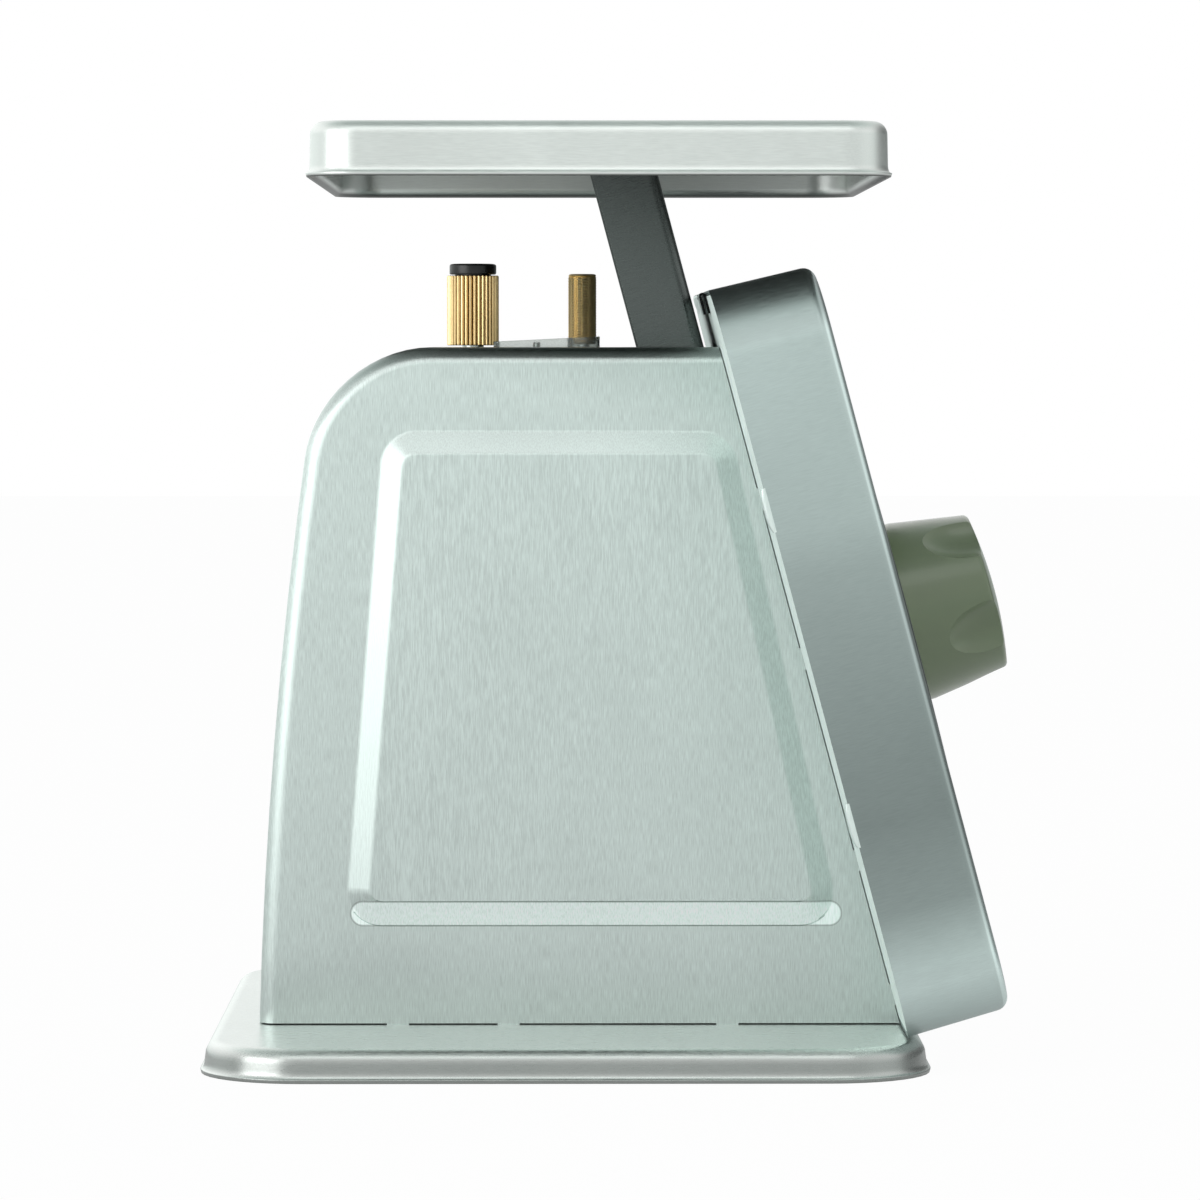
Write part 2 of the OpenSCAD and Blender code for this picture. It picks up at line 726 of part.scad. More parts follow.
module dashpot_cylinder() color(brass) {
    translate([-damper_x, 0, dash_z0]) tube(dashpot_r + dash_wall, dashpot_r, dashpot_len);
}

module dashpot_top_cap() color(brass) {
    translate([-damper_x, 0, 0]) difference() {
        union() {
            translate([0, 0, dash_z1 - 3]) cylinder(r = dashpot_r - fast_fit, h = 3 + ATOM);
            translate([0, 0, dash_z1]) cylinder(r = dashpot_r + dash_wall, h = 3);
            translate([0, 0, dash_z1 + 3 - ATOM]) cylinder(r = neck_r + 2, h = chassis_z - top_t - dash_z1 - 3 + ATOM);
            translate([0, 0, chassis_z - top_t - ATOM]) cylinder(r = neck_r, h = top_t + 4.4);
        }
        translate([0, 0, dash_z1 - 4]) cylinder(r = needle_r + pass_fit / 2, h = 40);
    }
}

module dashpot_bottom_cap() color(brass) {
    translate([-damper_x, 0, 0]) difference() {
        union() {
            translate([0, 0, dash_z0 - 3]) cylinder(r = dashpot_r + dash_wall, h = 3);
            translate([0, 0, dash_z0 - ATOM]) cylinder(r = dashpot_r - fast_fit, h = 3);
        }
        translate([0, 0, dash_z0 - 4]) cylinder(r = rod_r + 0.2, h = 8);
    }
}

module dashpot_nut() color(brass) {
    translate([-damper_x, 0, chassis_z]) difference() {
        cylinder(r = neck_r + 2.9, h = 3.4, $fn = 6);
        translate([0, 0, -1]) cylinder(r = neck_r + fast_fit, h = 6);
    }
}

module piston_rod() color(steel) {
    translate([-damper_x, 0, plate_z - 1.8]) cylinder(r = rod_r + 1.5, h = 1.8);
    translate([-damper_x, 0, plate_z - ATOM]) cylinder(r = rod_r, h = rod_top - plate_z);
}

module piston() color(dark_steel) {
    translate([-damper_x, 0, rod_top - 6.5]) tube(dashpot_r - 0.4, rod_r + fast_fit, 6);
}

module hanger_guide() color(steel) {
    translate([zero_x, guide_y, hanger_z0 - 8]) cylinder(r = guide_r, h = chassis_z + 1.5 - hanger_z0 + 8);
}

module spring_hanger() color(brass) {
    translate([zero_x, 0, 0]) difference() {
        union() {
            translate([-7, -6, hanger_z0]) cube([14, guide_y + 10, hanger_z1 - hanger_z0]);
            translate([0, 0, hanger_z0 - 9]) cylinder(r = plug_r, h = 9 + ATOM);
        }
        translate([0, 0, hanger_z0 + 2.5]) cylinder(r = screw_r + run_fit, h = 20);
        translate([0, guide_y, hanger_z0 - 1]) cylinder(r = guide_r + run_fit, h = 20);
    }
}

module spring_anchor() color(brass) {
    translate([zero_x, 0, 0]) {
        translate([0, 0, plate_top]) cylinder(r = plug_r, h = 9);
        translate([0, 0, plate_z - 1]) cylinder(r = screw_r, h = plate_t + 1 + ATOM);
        translate([0, 0, plate_z - 3]) cylinder(r = screw_r + 2, h = 3, $fn = 6);
    }
}

// Load spring: one unbroken wire in a helix whose ends run straight for one wire diameter
spring_rings = spring_curls * spring_steps;
spring_rise = (spring_z1 - spring_z0) / spring_rings;
function spring_path() =
    let (
        coil = [
            for (i = [0:spring_rings])
                let (a = 360 * i / spring_steps)
                [spring_r * cos(a), spring_r * sin(a), spring_z0 + spring_rise * i]
        ],
        first = [spring_r, -wire_d, spring_z0],
        last = [spring_r, wire_d, spring_z1]
    )
    concat([first], coil, [last]);
function wire_ring(path, i) =
    let (
        before = path[max(i - 1, 0)],
        after = path[min(i + 1, len(path) - 1)],
        along = unit(after - before),
        side = unit(cross([0, 0, 1], along)),
        up = cross(along, side)
    )
    [for (k = [0:5]) path[i] + wire_d / 2 * (cos(60 * k) * side + sin(60 * k) * up)];
spring_points = spring_path();
spring_gap = min([
    for (i = [0:spring_rings - spring_steps + 2])
        for (j = [i + spring_steps - 2:min(i + spring_steps + 2, spring_rings)])
            norm(spring_points[i] - spring_points[j])
]) - wire_d;

module load_spring() color(steel) {
    echo(least_gap_of_load_spring = spring_gap);
    translate([zero_x, 0, 0]) loft([for (i = [0:len(spring_points) - 1]) wire_ring(spring_points, i)]);
}

module overload_stop() color(dark_steel) {
    translate([stop_x, 0, base_top]) difference() {
        cylinder(r = stop_r, h = plate_z - travel - 3 - base_top);
        translate([0, 0, -1]) cylinder(r = 1.5 + fast_fit, h = 8);
    }
}

module stop_tip() color(rubber) {
    translate([stop_x, 0, plate_z - travel - 3]) cylinder(r = stop_r + 1, h = 3 - face_fit);
}

// Channel section of the post, in n and Y
module channel_section() {
    half = post_wid / 2;
    bend = 3;
    difference() {
        union() {
            translate([flange_n, -half]) square([post_depth - bend, post_wid]);
            translate([flange_n, -half + bend]) square([post_depth, post_wid - 2 * bend]);
            for (y = [-1, 1]) translate([web_n - bend, y * (half - bend)]) circle(r = bend);
        }
        translate([flange_n - 1, -half + post_t]) square([post_depth - bend + 1, post_wid - 2 * post_t]);
        translate([flange_n - 1, -half + bend]) square([post_depth - post_t + 1, post_wid - 2 * bend]);
        for (y = [-1, 1]) translate([web_n - bend, y * (half - bend)]) circle(r = bend - post_t);
    }
}

module platform_post() color(dark_steel) {
    difference() {
        dial_frame() translate([0, 0, -link_u - 12]) linear_extrude(height = 2 * tray_top) channel_section();
        translate([-base_len, -base_wid, spider_z]) cube([2 * base_len, 2 * base_wid, 2 * tray_top]);
        dial_box(
            [web_in - 1, -bridge_y - 5, -bridge_u - 4],
            [web_n + 1, bridge_y + 5, bridge_u + travel * cos(tilt) + 3.5]
        );
        for (side = [-1, 1]) {
            p = front_pin(side);
            for (dx = [-0.1, link_reach + 0.15])
                cross_rod(p[0] + dx, p[1], link_pin_r + run_fit, -post_wid, post_wid);
            translate([p[0] - 0.1, -post_wid, p[1] - link_pin_r - run_fit])
                cube([link_reach + 0.25, 2 * post_wid, 2 * (link_pin_r + run_fit)]);
        }
        rack_screw_places() translate([0, 0, web_in - 1]) cylinder(r = 1.2 + fast_fit, h = post_t + 2);
        carriage_screw_places() translate([0, 0, web_in - 1]) cylinder(r = 1.5 + fast_fit, h = post_t + 2);
    }
}

module rack_screw_places() {
    for (u = [rack_head_u + 3, rack_tail_u - 3])
        dial_frame() translate([0, 1, u]) rotate([0, 90, 0]) children();
}

module carriage_screw_places() {
    u = (plate_z - dial_z) / cos(tilt) - 3.6;
    for (y = [-12, 12])
        dial_frame() translate([0, y, u]) rotate([0, 90, 0]) children();
}

module rack_screws() color(steel) {
    rack_screw_places() {
        translate([0, 0, web_n]) cylinder(r = 2.2, h = 1.2);
        translate([0, 0, rack_n0 + 1]) cylinder(r = 1.2, h = web_n - rack_n0 - 1 + ATOM);
    }
}

module carriage_screws() color(steel) {
    carriage_screw_places() {
        translate([0, 0, web_n]) cylinder(r = 2.8, h = 1.4);
        translate([0, 0, web_in - 4]) cylinder(r = 1.5, h = post_t + 4 + ATOM);
    }
}

// Rack: straight teeth, one space opposite the pinion's middle, in Y and u
module rack_section() {
    tip_y = pinion_r - tooth_tip;
    root_y = pinion_r + tooth_root;
    half = tooth_pitch / 4 - backlash / 2;
    count = ceil(travel * cos(tilt) / tooth_pitch) + 2;
    for (k = [-3:count]) {
        u = (k + 0.5) * tooth_pitch;
        polygon([
            [root_y + ATOM, u - half - (root_y - pinion_r) * tan(pressure)],
            [tip_y, u - half + tooth_tip * tan(pressure)],
            [tip_y, u + half - tooth_tip * tan(pressure)],
            [root_y + ATOM, u + half + (root_y - pinion_r) * tan(pressure)]
        ]);
    }
    translate([root_y, -3 * tooth_pitch]) square([rack_back_y - root_y, rack_tail_u + 3 * tooth_pitch]);
}

module rack() color(brass) {
    difference() {
        union() {
            dial_frame() translate([rack_n0, 0, 0]) rotate([90, 0, 90]) linear_extrude(height = rack_n1 - rack_n0)
                rack_section();
            dial_box([rack_n0, -4, rack_head_u], [web_in, rack_back_y, rack_tail_u]);
        }
        rack_screw_places() translate([0, 0, rack_n0 - 1]) cylinder(r = 1.2 + fast_fit, h = 8);
    }
}

// Pinion: involute teeth, one of them pointing at the rack
base_r = pinion_r * cos(pressure);
function roll(r) = let (a = acos(min(1, base_r / r))) tan(a) * 180 / PI - a;
function tooth_half(r) = 90 / teeth - backlash / 2 / pinion_r * 90 / PI + roll(pinion_r) - roll(r);
tip_r = pinion_r + tooth_tip;
root_r = pinion_r - tooth_root;
function tooth_side(k) = [
    for (i = [0:5])
        let (r = base_r + (tip_r - base_r) * i / 5, a = 360 * k / teeth - tooth_half(r))
        [r * cos(a), r * sin(a)]
];
pinion_outline = [
    for (k = [0:teeth - 1])
        let (
            up = tooth_side(k),
            centre = 360 * k / teeth,
            foot = tooth_half(base_r) + 1
        )
        for (p = concat(
            [[root_r * cos(centre - foot), root_r * sin(centre - foot)]],
            up,
            [for (q = flip(up)) let (a = 2 * centre) [q[0] * cos(a) + q[1] * sin(a), q[0] * sin(a) - q[1] * cos(a)]],
            [[root_r * cos(centre + foot), root_r * sin(centre + foot)]]
        ))
            p
];

module pinion() color(brass) {
    on_shaft(-13) difference() {
        linear_extrude(height = 6.5) rotate(90) polygon(pinion_outline);
        translate([0, 0, -1]) cylinder(r = shaft_r + fast_fit, h = 9);
    }
}

module pinion_shaft() color(steel) {
    on_shaft(bridge_n - 2) cylinder(r = shaft_r, h = dial_face_n + 4 - bridge_n + 2);
}

hub_n = dial_face_n + dial_face_t + 0.8;

module pointer_hub() color(brass) {
    on_shaft(hub_n) tube(4, shaft_r + fast_fit, 1.2);
    on_shaft(hub_n + 1.2 - ATOM) tube(2.5, shaft_r + fast_fit, 1.5);
}

module pointer() color([0.08, 0.08, 0.08]) {
    tail = 24;
    on_shaft(hub_n + 1.2) difference() {
        union() {
            cylinder(r = 5, h = 0.6);
            linear_extrude(height = 0.6)
                polygon([[-pointer_len, -0.5], [-pointer_len, 0.5], [0, 2.6], [tail, 3.4], [tail, -3.4], [0, -2.6]]);
        }
        translate([0, 0, -1]) cylinder(r = 2.5 + fast_fit, h = 3);
    }
}

module dial_face() color([0.95, 0.95, 0.93]) {
    on_shaft(dial_face_n) tube(dial_r, 4.5, dial_face_t);
}

module dial_ring() color([0.85, 0.85, 0.84]) {
    on_shaft(dial_face_n + dial_face_t) tube(dial_r, dial_r - 1.4, dial_ring_len);
}

module lens() color([0.8, 0.9, 0.9], 0.3) {
    on_shaft(lens_n0) tube(dial_r, knob_screw_r + fast_fit, lens_t);
}

module knob_washer() color(rubber) {
    on_shaft(lens_n1) tube(10, knob_screw_r + fast_fit, knob_n0 - lens_n1);
}

module knob_screw() color(steel) {
    on_shaft(lens_n0 - 1.6) cylinder(r = 3.4, h = 1.6);
    on_shaft(lens_n0 - ATOM) cylinder(r = knob_screw_r, h = 14);
}

// Tare knob: tapered, crowned and scalloped for five fingertips
module tare_knob() color(olive) {
    h = knob_rim_n - knob_n0;
    bite_r = 12;
    half = scallop_wid / 2;
    near = sqrt(bite_r * bite_r - half * half) + sqrt(knob_face_r * knob_face_r - half * half);
    far = bite_r + knob_face_r + (knob_r - knob_face_r) * scallop_len / (h - 7);
    on_shaft(knob_n0) difference() {
        rotate_extrude() polygon(concat(
            [[0, 0], [knob_r - 1.2, 0], [knob_r, 1.6], [knob_r, 7], [knob_face_r + 0.3, h - 1.6], [knob_face_r, h - 0.7]],
            [for (i = [0:4]) let (r = (knob_face_r - 0.9) * (1 - i / 4)) [r, h + knob_crown * (1 - pow(r / (knob_face_r - 0.9), 2))]]
        ));
        for (k = [0:4])
            rotate([0, 0, -90 + 23 + 72 * k]) translate([near, 0, h])
                rotate([0, -atan((far - near) / scallop_len), 0])
                    translate([0, 0, -2 * scallop_len]) cylinder(r = bite_r, h = 3 * scallop_len);
        translate([0, 0, -1]) cylinder(r = knob_screw_r + fast_fit, h = 14);
    }
}

module zero_knob() color(brass) {
    z0 = hood_top + 0.8;
    h = zero_h - 0.8;
    translate([zero_x, 0, z0]) difference() {
        rotate_extrude()
            polygon([[0, 0], [zero_r - 0.3, 0], [zero_r, 0.3], [zero_r, h - 1], [zero_r - 0.3, h - 0.3], [zero_r - 1, h], [0, h]]);
        translate([0, 0, -1]) cylinder(r = screw_r + fast_fit, h = h - 3);
    }
}

module zero_screw() color(steel) {
    translate([zero_x, 0, hanger_z0 + 5]) cylinder(r = screw_r, h = hood_top + zero_h - 5 - hanger_z0 - 5);
    translate([zero_x, 0, chassis_z + 0.1]) cylinder(r = screw_r + 2, h = 1.9);
}

module damper_sleeve() color(brass) {
    dip = 0.35;
    translate([-damper_x, 0, sleeve_z0]) difference() {
        linear_extrude(height = sleeve_len) polygon([
            for (k = [0:flutes - 1])
                for (s = [[0.08, 0], [0.42, 0], [0.62, dip], [0.88, dip]])
                    let (a = 360 * (k + s[0]) / flutes)
                    (sleeve_r - s[1]) * [cos(a), sin(a)]
        ]);
        translate([0, 0, -1]) cylinder(r = shank_r + fast_fit, h = sleeve_len + 2);
    }
}

module damper_cap() color(rubber) {
    r = sleeve_r - 0.7;
    translate([-damper_x, 0, sleeve_z1]) rotate_extrude() polygon([
        [0, -4], [shank_r - fast_fit, -4], [shank_r - fast_fit, 0], [r - 1.5, 0], [r - 1.5, 0.3],
        [r - 0.3, 0.3], [r, 0.6], [r, 2.9], [r - 0.4, 3.3], [0, 3.3]
    ]);
}

module damper_needle() color(steel) {
    translate([-damper_x, 0, chassis_z + 5]) cylinder(r = shank_r, h = sleeve_z1 - 4.3 - chassis_z - 5);
    translate([-damper_x, 0, dash_z1 - 1]) cylinder(r = needle_r, h = chassis_z + 6 - dash_z1 + ATOM);
}

module carriage_plate() color(dark_steel) {
    n1 = web_in - 0.05;
    u1 = (plate_z - dial_z) / cos(tilt) + 2.2;
    difference() {
        union() {
            translate([0, plate_y, 0]) rotate([90, 0, 0]) linear_extrude(height = 2 * plate_y)
                polygon([
                    [plate_x0, plate_z], [plane_x(n1, plate_z), plate_z],
                    [plane_x(n1, plate_top), plate_top], [plate_x0, plate_top]
                ]);
            dial_box([n1 - 1.5, -plate_y + 2, u1 - 12], [n1, plate_y - 2, u1]);
        }
        translate([-damper_x, 0, plate_z - 1]) cylinder(r = rod_r + fast_fit, h = plate_t + 2);
        translate([zero_x, 0, plate_z - 1]) cylinder(r = screw_r + fast_fit, h = plate_t + 2);
        carriage_screw_places() translate([0, 0, web_in - 5]) cylinder(r = 1.5 + fast_fit, h = 6);
    }
}

module platform_spider() color(dark_steel) {
    translate([tray_x, 0, spider_z]) {
        translate([-17, -tray_in_y + 1.2, 0]) cube([34, 2 * tray_in_y - 2.4, spider_t]);
        translate([-tray_in_x + 1.2, -20, 0]) cube([2 * tray_in_x - 2.4, 40, spider_t]);
    }
}

module spider_pads() color(rubber) {
    translate([tray_x, 0, spider_z + spider_t])
        for (p = [[tray_in_x - 10, 0], [10 - tray_in_x, 0], [0, tray_in_y - 10], [0, 10 - tray_in_y]])
            translate([p[0], p[1], 0]) cylinder(r = 5, h = pad_h);
}

module platform_tray() color(steel) {
    translate([tray_x, 0, 0])
        drawn_pan(tray_len, tray_wid, tray_corner, tray_top - tray_depth, tray_top, tray_flare, tray_edge, 0.15);
}

// The finished scale stands with the middle of its length over the origin
module placed() translate([-centre_x, 0, 0]) children();

placed() base_pan();
placed() foot_pads();
placed() base_screws();
placed() hood();
placed() chassis_left();
placed() chassis_right();
placed() chassis_top();
placed() chassis_screws();
placed() link_pivot_pins();
placed() pivot_clips();
placed() dial_housing();
placed() back_plate();
placed() dial_well();
placed() lens_gasket();
placed() movement_bridge();
placed() bridge_screws();
placed() front_bushing();
placed() rear_bushing();
placed() dashpot_cylinder();
placed() dashpot_top_cap();
placed() dashpot_bottom_cap();
placed() dashpot_nut();
placed() hanger_guide();
placed() detent_clip();
placed() clip_screw();
placed() overload_stop();
placed() stop_tip();
placed() load_spring();
placed() platform_post();
placed() platform_spider();
placed() spider_pads();
placed() carriage_plate();
placed() carriage_screws();
placed() rack();
placed() rack_screws();
placed() piston_rod();
placed() piston();
placed() spring_anchor();
placed() platform_tray();
placed() upper_link();
placed() upper_link_pin();
placed() lower_link();
placed() lower_link_pin();
placed() pinion();
placed() pinion_shaft();
placed() pointer();
placed() pointer_hub();
placed() dial_face();
placed() dial_ring();
placed() lens();
placed() tare_knob();
placed() knob_screw();
placed() knob_washer();
placed() zero_knob();
placed() zero_screw();
placed() spring_hanger();
placed() damper_sleeve();
placed() damper_cap();
placed() damper_needle();
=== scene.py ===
# %% [markdown]
# # Portion control scale
# A mechanical dial scale in brushed stainless sheet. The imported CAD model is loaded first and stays
# as it is. Most of what shows is then modelled again with finer edges, and the rest gets a finish.

# %% Load the frame
import json
import math

import bmesh
import bpy
from mathutils import Matrix, Vector


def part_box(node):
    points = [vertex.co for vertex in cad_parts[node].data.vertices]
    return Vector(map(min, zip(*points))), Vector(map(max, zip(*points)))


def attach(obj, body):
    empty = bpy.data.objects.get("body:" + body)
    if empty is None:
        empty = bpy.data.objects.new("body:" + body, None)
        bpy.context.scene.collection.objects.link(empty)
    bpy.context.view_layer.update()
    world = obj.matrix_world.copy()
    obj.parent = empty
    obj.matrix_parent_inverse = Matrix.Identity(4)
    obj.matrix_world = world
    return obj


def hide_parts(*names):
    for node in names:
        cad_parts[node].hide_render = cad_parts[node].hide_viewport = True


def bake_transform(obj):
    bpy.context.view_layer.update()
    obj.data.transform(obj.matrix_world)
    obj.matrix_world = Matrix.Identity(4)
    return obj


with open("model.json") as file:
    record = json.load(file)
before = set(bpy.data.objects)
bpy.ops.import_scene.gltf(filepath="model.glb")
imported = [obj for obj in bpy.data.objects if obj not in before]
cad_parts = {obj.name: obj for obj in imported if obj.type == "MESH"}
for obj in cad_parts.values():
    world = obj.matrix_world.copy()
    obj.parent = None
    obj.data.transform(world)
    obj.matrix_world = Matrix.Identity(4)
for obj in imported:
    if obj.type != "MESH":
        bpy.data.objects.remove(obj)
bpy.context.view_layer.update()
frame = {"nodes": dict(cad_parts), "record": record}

# %% [markdown]
# The camera looks at the scale's left side from 1.6 m, through a long lens, 2.5 degrees down. Its
# height is just under the hood's top, so the hood's top face shows as a line and the tray from below.

# %% Camera
def linked(name, data):
    """A new object that shows this data, linked into the scene."""
    made = bpy.data.objects.new(name, data)
    bpy.context.scene.collection.objects.link(made)
    return made


LENS_LENGTH = 172.8
FILM_WIDTH = 36
CAMERA_AT = (-0.01447, -1.615, 0.1928)
LOOK_DOWN = 2.485
LOOK_RIGHT = 0.398
camera_data = bpy.data.cameras.new("Camera")
camera_data.lens = LENS_LENGTH
camera_data.sensor_width = FILM_WIDTH
camera = linked("Camera", camera_data)
camera.location = CAMERA_AT
camera.rotation_euler = (math.radians(90 - LOOK_DOWN), 0, math.radians(-LOOK_RIGHT))
bpy.context.scene.camera = camera
bpy.context.scene.view_settings.view_transform = "Standard"
print("camera", CAMERA_AT, "field of view", round(math.degrees(camera_data.angle), 2), "degrees")

# %% [markdown]
# Sizes are in millimetres and follow the CAD source. X is measured from the middle of the base
# pan, and CENTRE moves it to the middle of the whole scale. The dial leans back by TILT.

# %% Shared sizes
MM = 0.001
CENTRE = 13.0207
TINY = 0.01
SHEET = 1.0
TILT = math.radians(15)
DIAL = Vector((64.06, 0, 110.743))
ALONG = Vector((math.cos(TILT), 0, math.sin(TILT)))
UP = Vector((-math.sin(TILT), 0, math.cos(TILT)))
HOOD_TOP = 193.6


def shaft(n=0.0, down=0.0):
    """Placing of a piece drawn round Z, so that Z becomes the pointer shaft and X points down the dial."""
    turn = Matrix.Rotation(-TILT, 4, "Y") @ Matrix.Rotation(math.radians(90), 4, "Y")
    return Matrix.Translation(DIAL) @ turn @ Matrix.Translation((down, 0, n))


def dial_point(n, y, u):
    """A point of the leaning dial: n along the shaft, y across, u up the dial."""
    return DIAL + ALONG * n + UP * u + Vector((0, y, 0))


def depth_of(co):
    """How far a point lies along the pointer shaft from the back plate."""
    return (co - DIAL).dot(ALONG)


print("dial axis", [round(v, 2) for v in DIAL])

# %% [markdown]
# Every finish is a node material. The pattern is laid out on Object coordinates: all the objects
# sit at the origin, so these are real places on the scale, in metres, and a noise scale is a count
# per metre. A small helper adds a node and fills in its sockets, so each finish reads as a short
# recipe. The floor and the studio use the same helpers.

# %% Node helpers
finishes = {}


def node_maker(tree):
    """The function that adds a node to this tree, gives it its settings and fills in its sockets."""
    def node(kind, sockets=None, **settings):
        made = tree.nodes.new("ShaderNode" + kind)
        for key, value in settings.items():
            setattr(made, key, value)
        for key, value in (sockets or {}).items():
            if isinstance(value, bpy.types.NodeSocket):
                tree.links.new(value, made.inputs[key])
            else:
                made.inputs[key].default_value = value
        return made

    return node


def new_finish(name):
    """Adds an empty finish, and gives its shader, its node maker and a way to link to the shader."""
    material = finishes[name] = bpy.data.materials.new(name)
    material.use_nodes = True
    tree = material.node_tree
    shader = tree.nodes["Principled BSDF"]

    def link(source, socket):
        tree.links.new(source, shader.inputs[socket])

    return shader, node_maker(tree), link


def maths(node, operation, *values):
    """One sum, on numbers or sockets."""
    return node("Math", dict(enumerate(values)), operation=operation).outputs[0]


def times_colour(node, colour, factor):
    """The colour, made brighter or darker by a factor that may vary."""
    return node("VectorMath", {0: colour, "Scale": factor}, operation="SCALE").outputs[0]


def reach_along(node, vector, direction):
    """How far a vector reaches along a direction."""
    both = {0: vector, 1: tuple(direction)}
    return node("VectorMath", both, operation="DOT_PRODUCT").outputs["Value"]


def spread(node, value, low, high, start=0.3, end=0.7):
    """The value, mapped from start..end to low..high."""
    ends = {"From Min": start, "From Max": end, "To Min": low, "To Max": high}
    return node("MapRange", {"Value": value, **ends}).outputs["Result"]


def mixed(node, share, first, second):
    """Colour that goes from the first to the second with the share."""
    return node("Mix", {"Factor": share, "A": first, "B": second}, data_type="RGBA").outputs[2]


def ramped(node, value, stops):
    """Colour ramp through stops, which are pairs of place, from 0 to 1, and colour."""
    ramp = node("ValToRGB", {"Fac": value})
    marks = ramp.color_ramp.elements
    for i, (at, colour) in enumerate(stops):
        mark = marks[0] if i == 0 else marks[-1] if i == len(stops) - 1 else marks.new(at)
        mark.position = at
        mark.color = (*colour, 1)
    return ramp.outputs["Color"]


def shade(colour, factor):
    """A plain colour made darker or lighter, and never brighter than 1."""
    return tuple(min(1.0, c * factor) for c in colour)


print("half of mid grey", shade((0.5, 0.5, 0.5), 0.5))

# %% [markdown]
# Grain and clouds are both noise. Where its three scales are equal it makes spots, and where one
# is small it makes lines along that axis. A turn before the stretch leans the lines. Each finish
# puts its base colour a little darker and a little lighter by such a noise.

# %% Grain and variation
def grained(node, scale, turn=(0, 0, 0), detail=3.0, roughness=0.55):
    """Noise on Object coordinates, stretched by scale after the turn."""
    place = node("TexCoord").outputs["Object"]
    turned = node("Mapping", {"Vector": place, "Rotation": turn}).outputs["Vector"]
    drawn = node("Mapping", {"Vector": turned, "Scale": scale}).outputs["Vector"]
    noise = node("TexNoise", {"Vector": drawn, "Scale": 1.0, "Detail": detail, "Roughness": roughness})
    return noise.outputs["Fac"]


def varied(node, share, colour, vary):
    """The colour, from a little darker to a little lighter with the share."""
    return mixed(node, share, (*shade(colour, 1 - vary), 1), (*shade(colour, 1 + vary), 1))


print("spots of 900 to the metre are", round(1000 / 900, 1), "mm apart")

# %% [markdown]
# Brushed stainless is drawn with an abrasive belt, so its finish has a direction. Fine lines run
# along the grain, each a few millimetres long and a few tenths of a millimetre wide, over broader
# and fainter streaks. They spread the light across the grain. The shader's anisotropy makes that
# spread, once its tangent lies across the grain. Cloudy handling marks come from a third noise.

# %% Brushed steel
UPRIGHT = ((0, 0, 0), (0, 0, 1))
LENGTHWISE = ((0, math.radians(-90), 0), (1, 0, 0))
SHAFTWISE = ((0, math.radians(-75), 0), ALONG)
FINE_LINES = (4600, 4600, 260)
BROAD_STREAKS = (300, 300, 40)
HAND_MARKS = (26, 26, 14)
NOISE_LOW, NOISE_HIGH = 0.36, 0.64
STEADY = (0.05, 0.0, 0.03)


def brushed_steel(
    name, grain, colour, roughness, streak=0.05, anisotropy=0.6, cloud=0.03, depth=0.12, metallic=1.0,
    painted_shading_of=None
):
    """Steel with lines along the grain, which is the turn that brings it upright, and its direction."""
    shader, node, link = new_finish(name)
    turn, direction = grain
    fine = grained(node, FINE_LINES, turn, 2.0, 0.6)
    broad = grained(node, BROAD_STREAKS, turn, 3.0)
    marks = grained(node, HAND_MARKS, (0.3, 0.2, 0.5), 4.0)
    lines = maths(node, "MULTIPLY_ADD", fine, 0.93, maths(node, "MULTIPLY", broad, 0.07))
    base = varied(node, spread(node, lines, 0.0, 1.0, NOISE_LOW, NOISE_HIGH), colour, streak)
    marks_and_painted_shading = spread(node, marks, 1 - cloud, 1 + cloud)
    # Painted light and shade of the piece, if it has any, is multiplied in here with the random hand marks.
    if painted_shading_of:
        marks_and_painted_shading = maths(node, "MULTIPLY", marks_and_painted_shading, painted_shading_of(node))
    link(times_colour(node, base, marks_and_painted_shading), "Base Color")
    link(spread(node, lines, roughness - 0.05, roughness + 0.06, NOISE_LOW, NOISE_HIGH), "Roughness")
    bump = node("Bump", {"Height": fine, "Strength": depth, "Distance": 0.00004})
    link(bump.outputs["Normal"], "Normal")
    normal = node("NewGeometry").outputs["Normal"]
    across = node("VectorMath", {0: normal, 1: tuple(direction)}, operation="CROSS_PRODUCT").outputs[0]
    # Faces square to the grain have no such direction, so a small fixed one takes over there.
    steady = node("VectorMath", {0: across, 1: STEADY}, operation="ADD").outputs[0]
    link(node("VectorMath", {0: steady}, operation="NORMALIZE").outputs[0], "Tangent")
    shader.inputs["Metallic"].default_value = metallic
    shader.inputs["Anisotropic"].default_value = anisotropy


print("fine lines, mm wide and long:", round(1000 / FINE_LINES[0], 2), round(1000 / FINE_LINES[2], 1))

# %% [markdown]
# Three pans have painted light and shade of their own, which is multiplied into the colour of their
# steel. The tray is darker where a face looks down, as painted shade under it, and the base where
# its walls look sideways, as painted shade. The dial's housing has painted light and dark bands up
# its sides, which stand in for reflections, a painted highlight band on its front edge and a darker
# front face. Tones are read from a place on the scale or from the way a face looks, so they stay
# where they are in any view.

# %% Painted light and shade of the pans
RAMP_REACH = 110
FRONT_TONE = 0.45


def facing_up(start, end, low):
    """Painted shade: a tone that falls to low where a face looks less far up than start."""
    def tone(node):
        up = node("SeparateXYZ", {0: node("NewGeometry").outputs["Normal"]}).outputs["Z"]
        return spread(node, up, low, 1.0, start, end)

    return tone


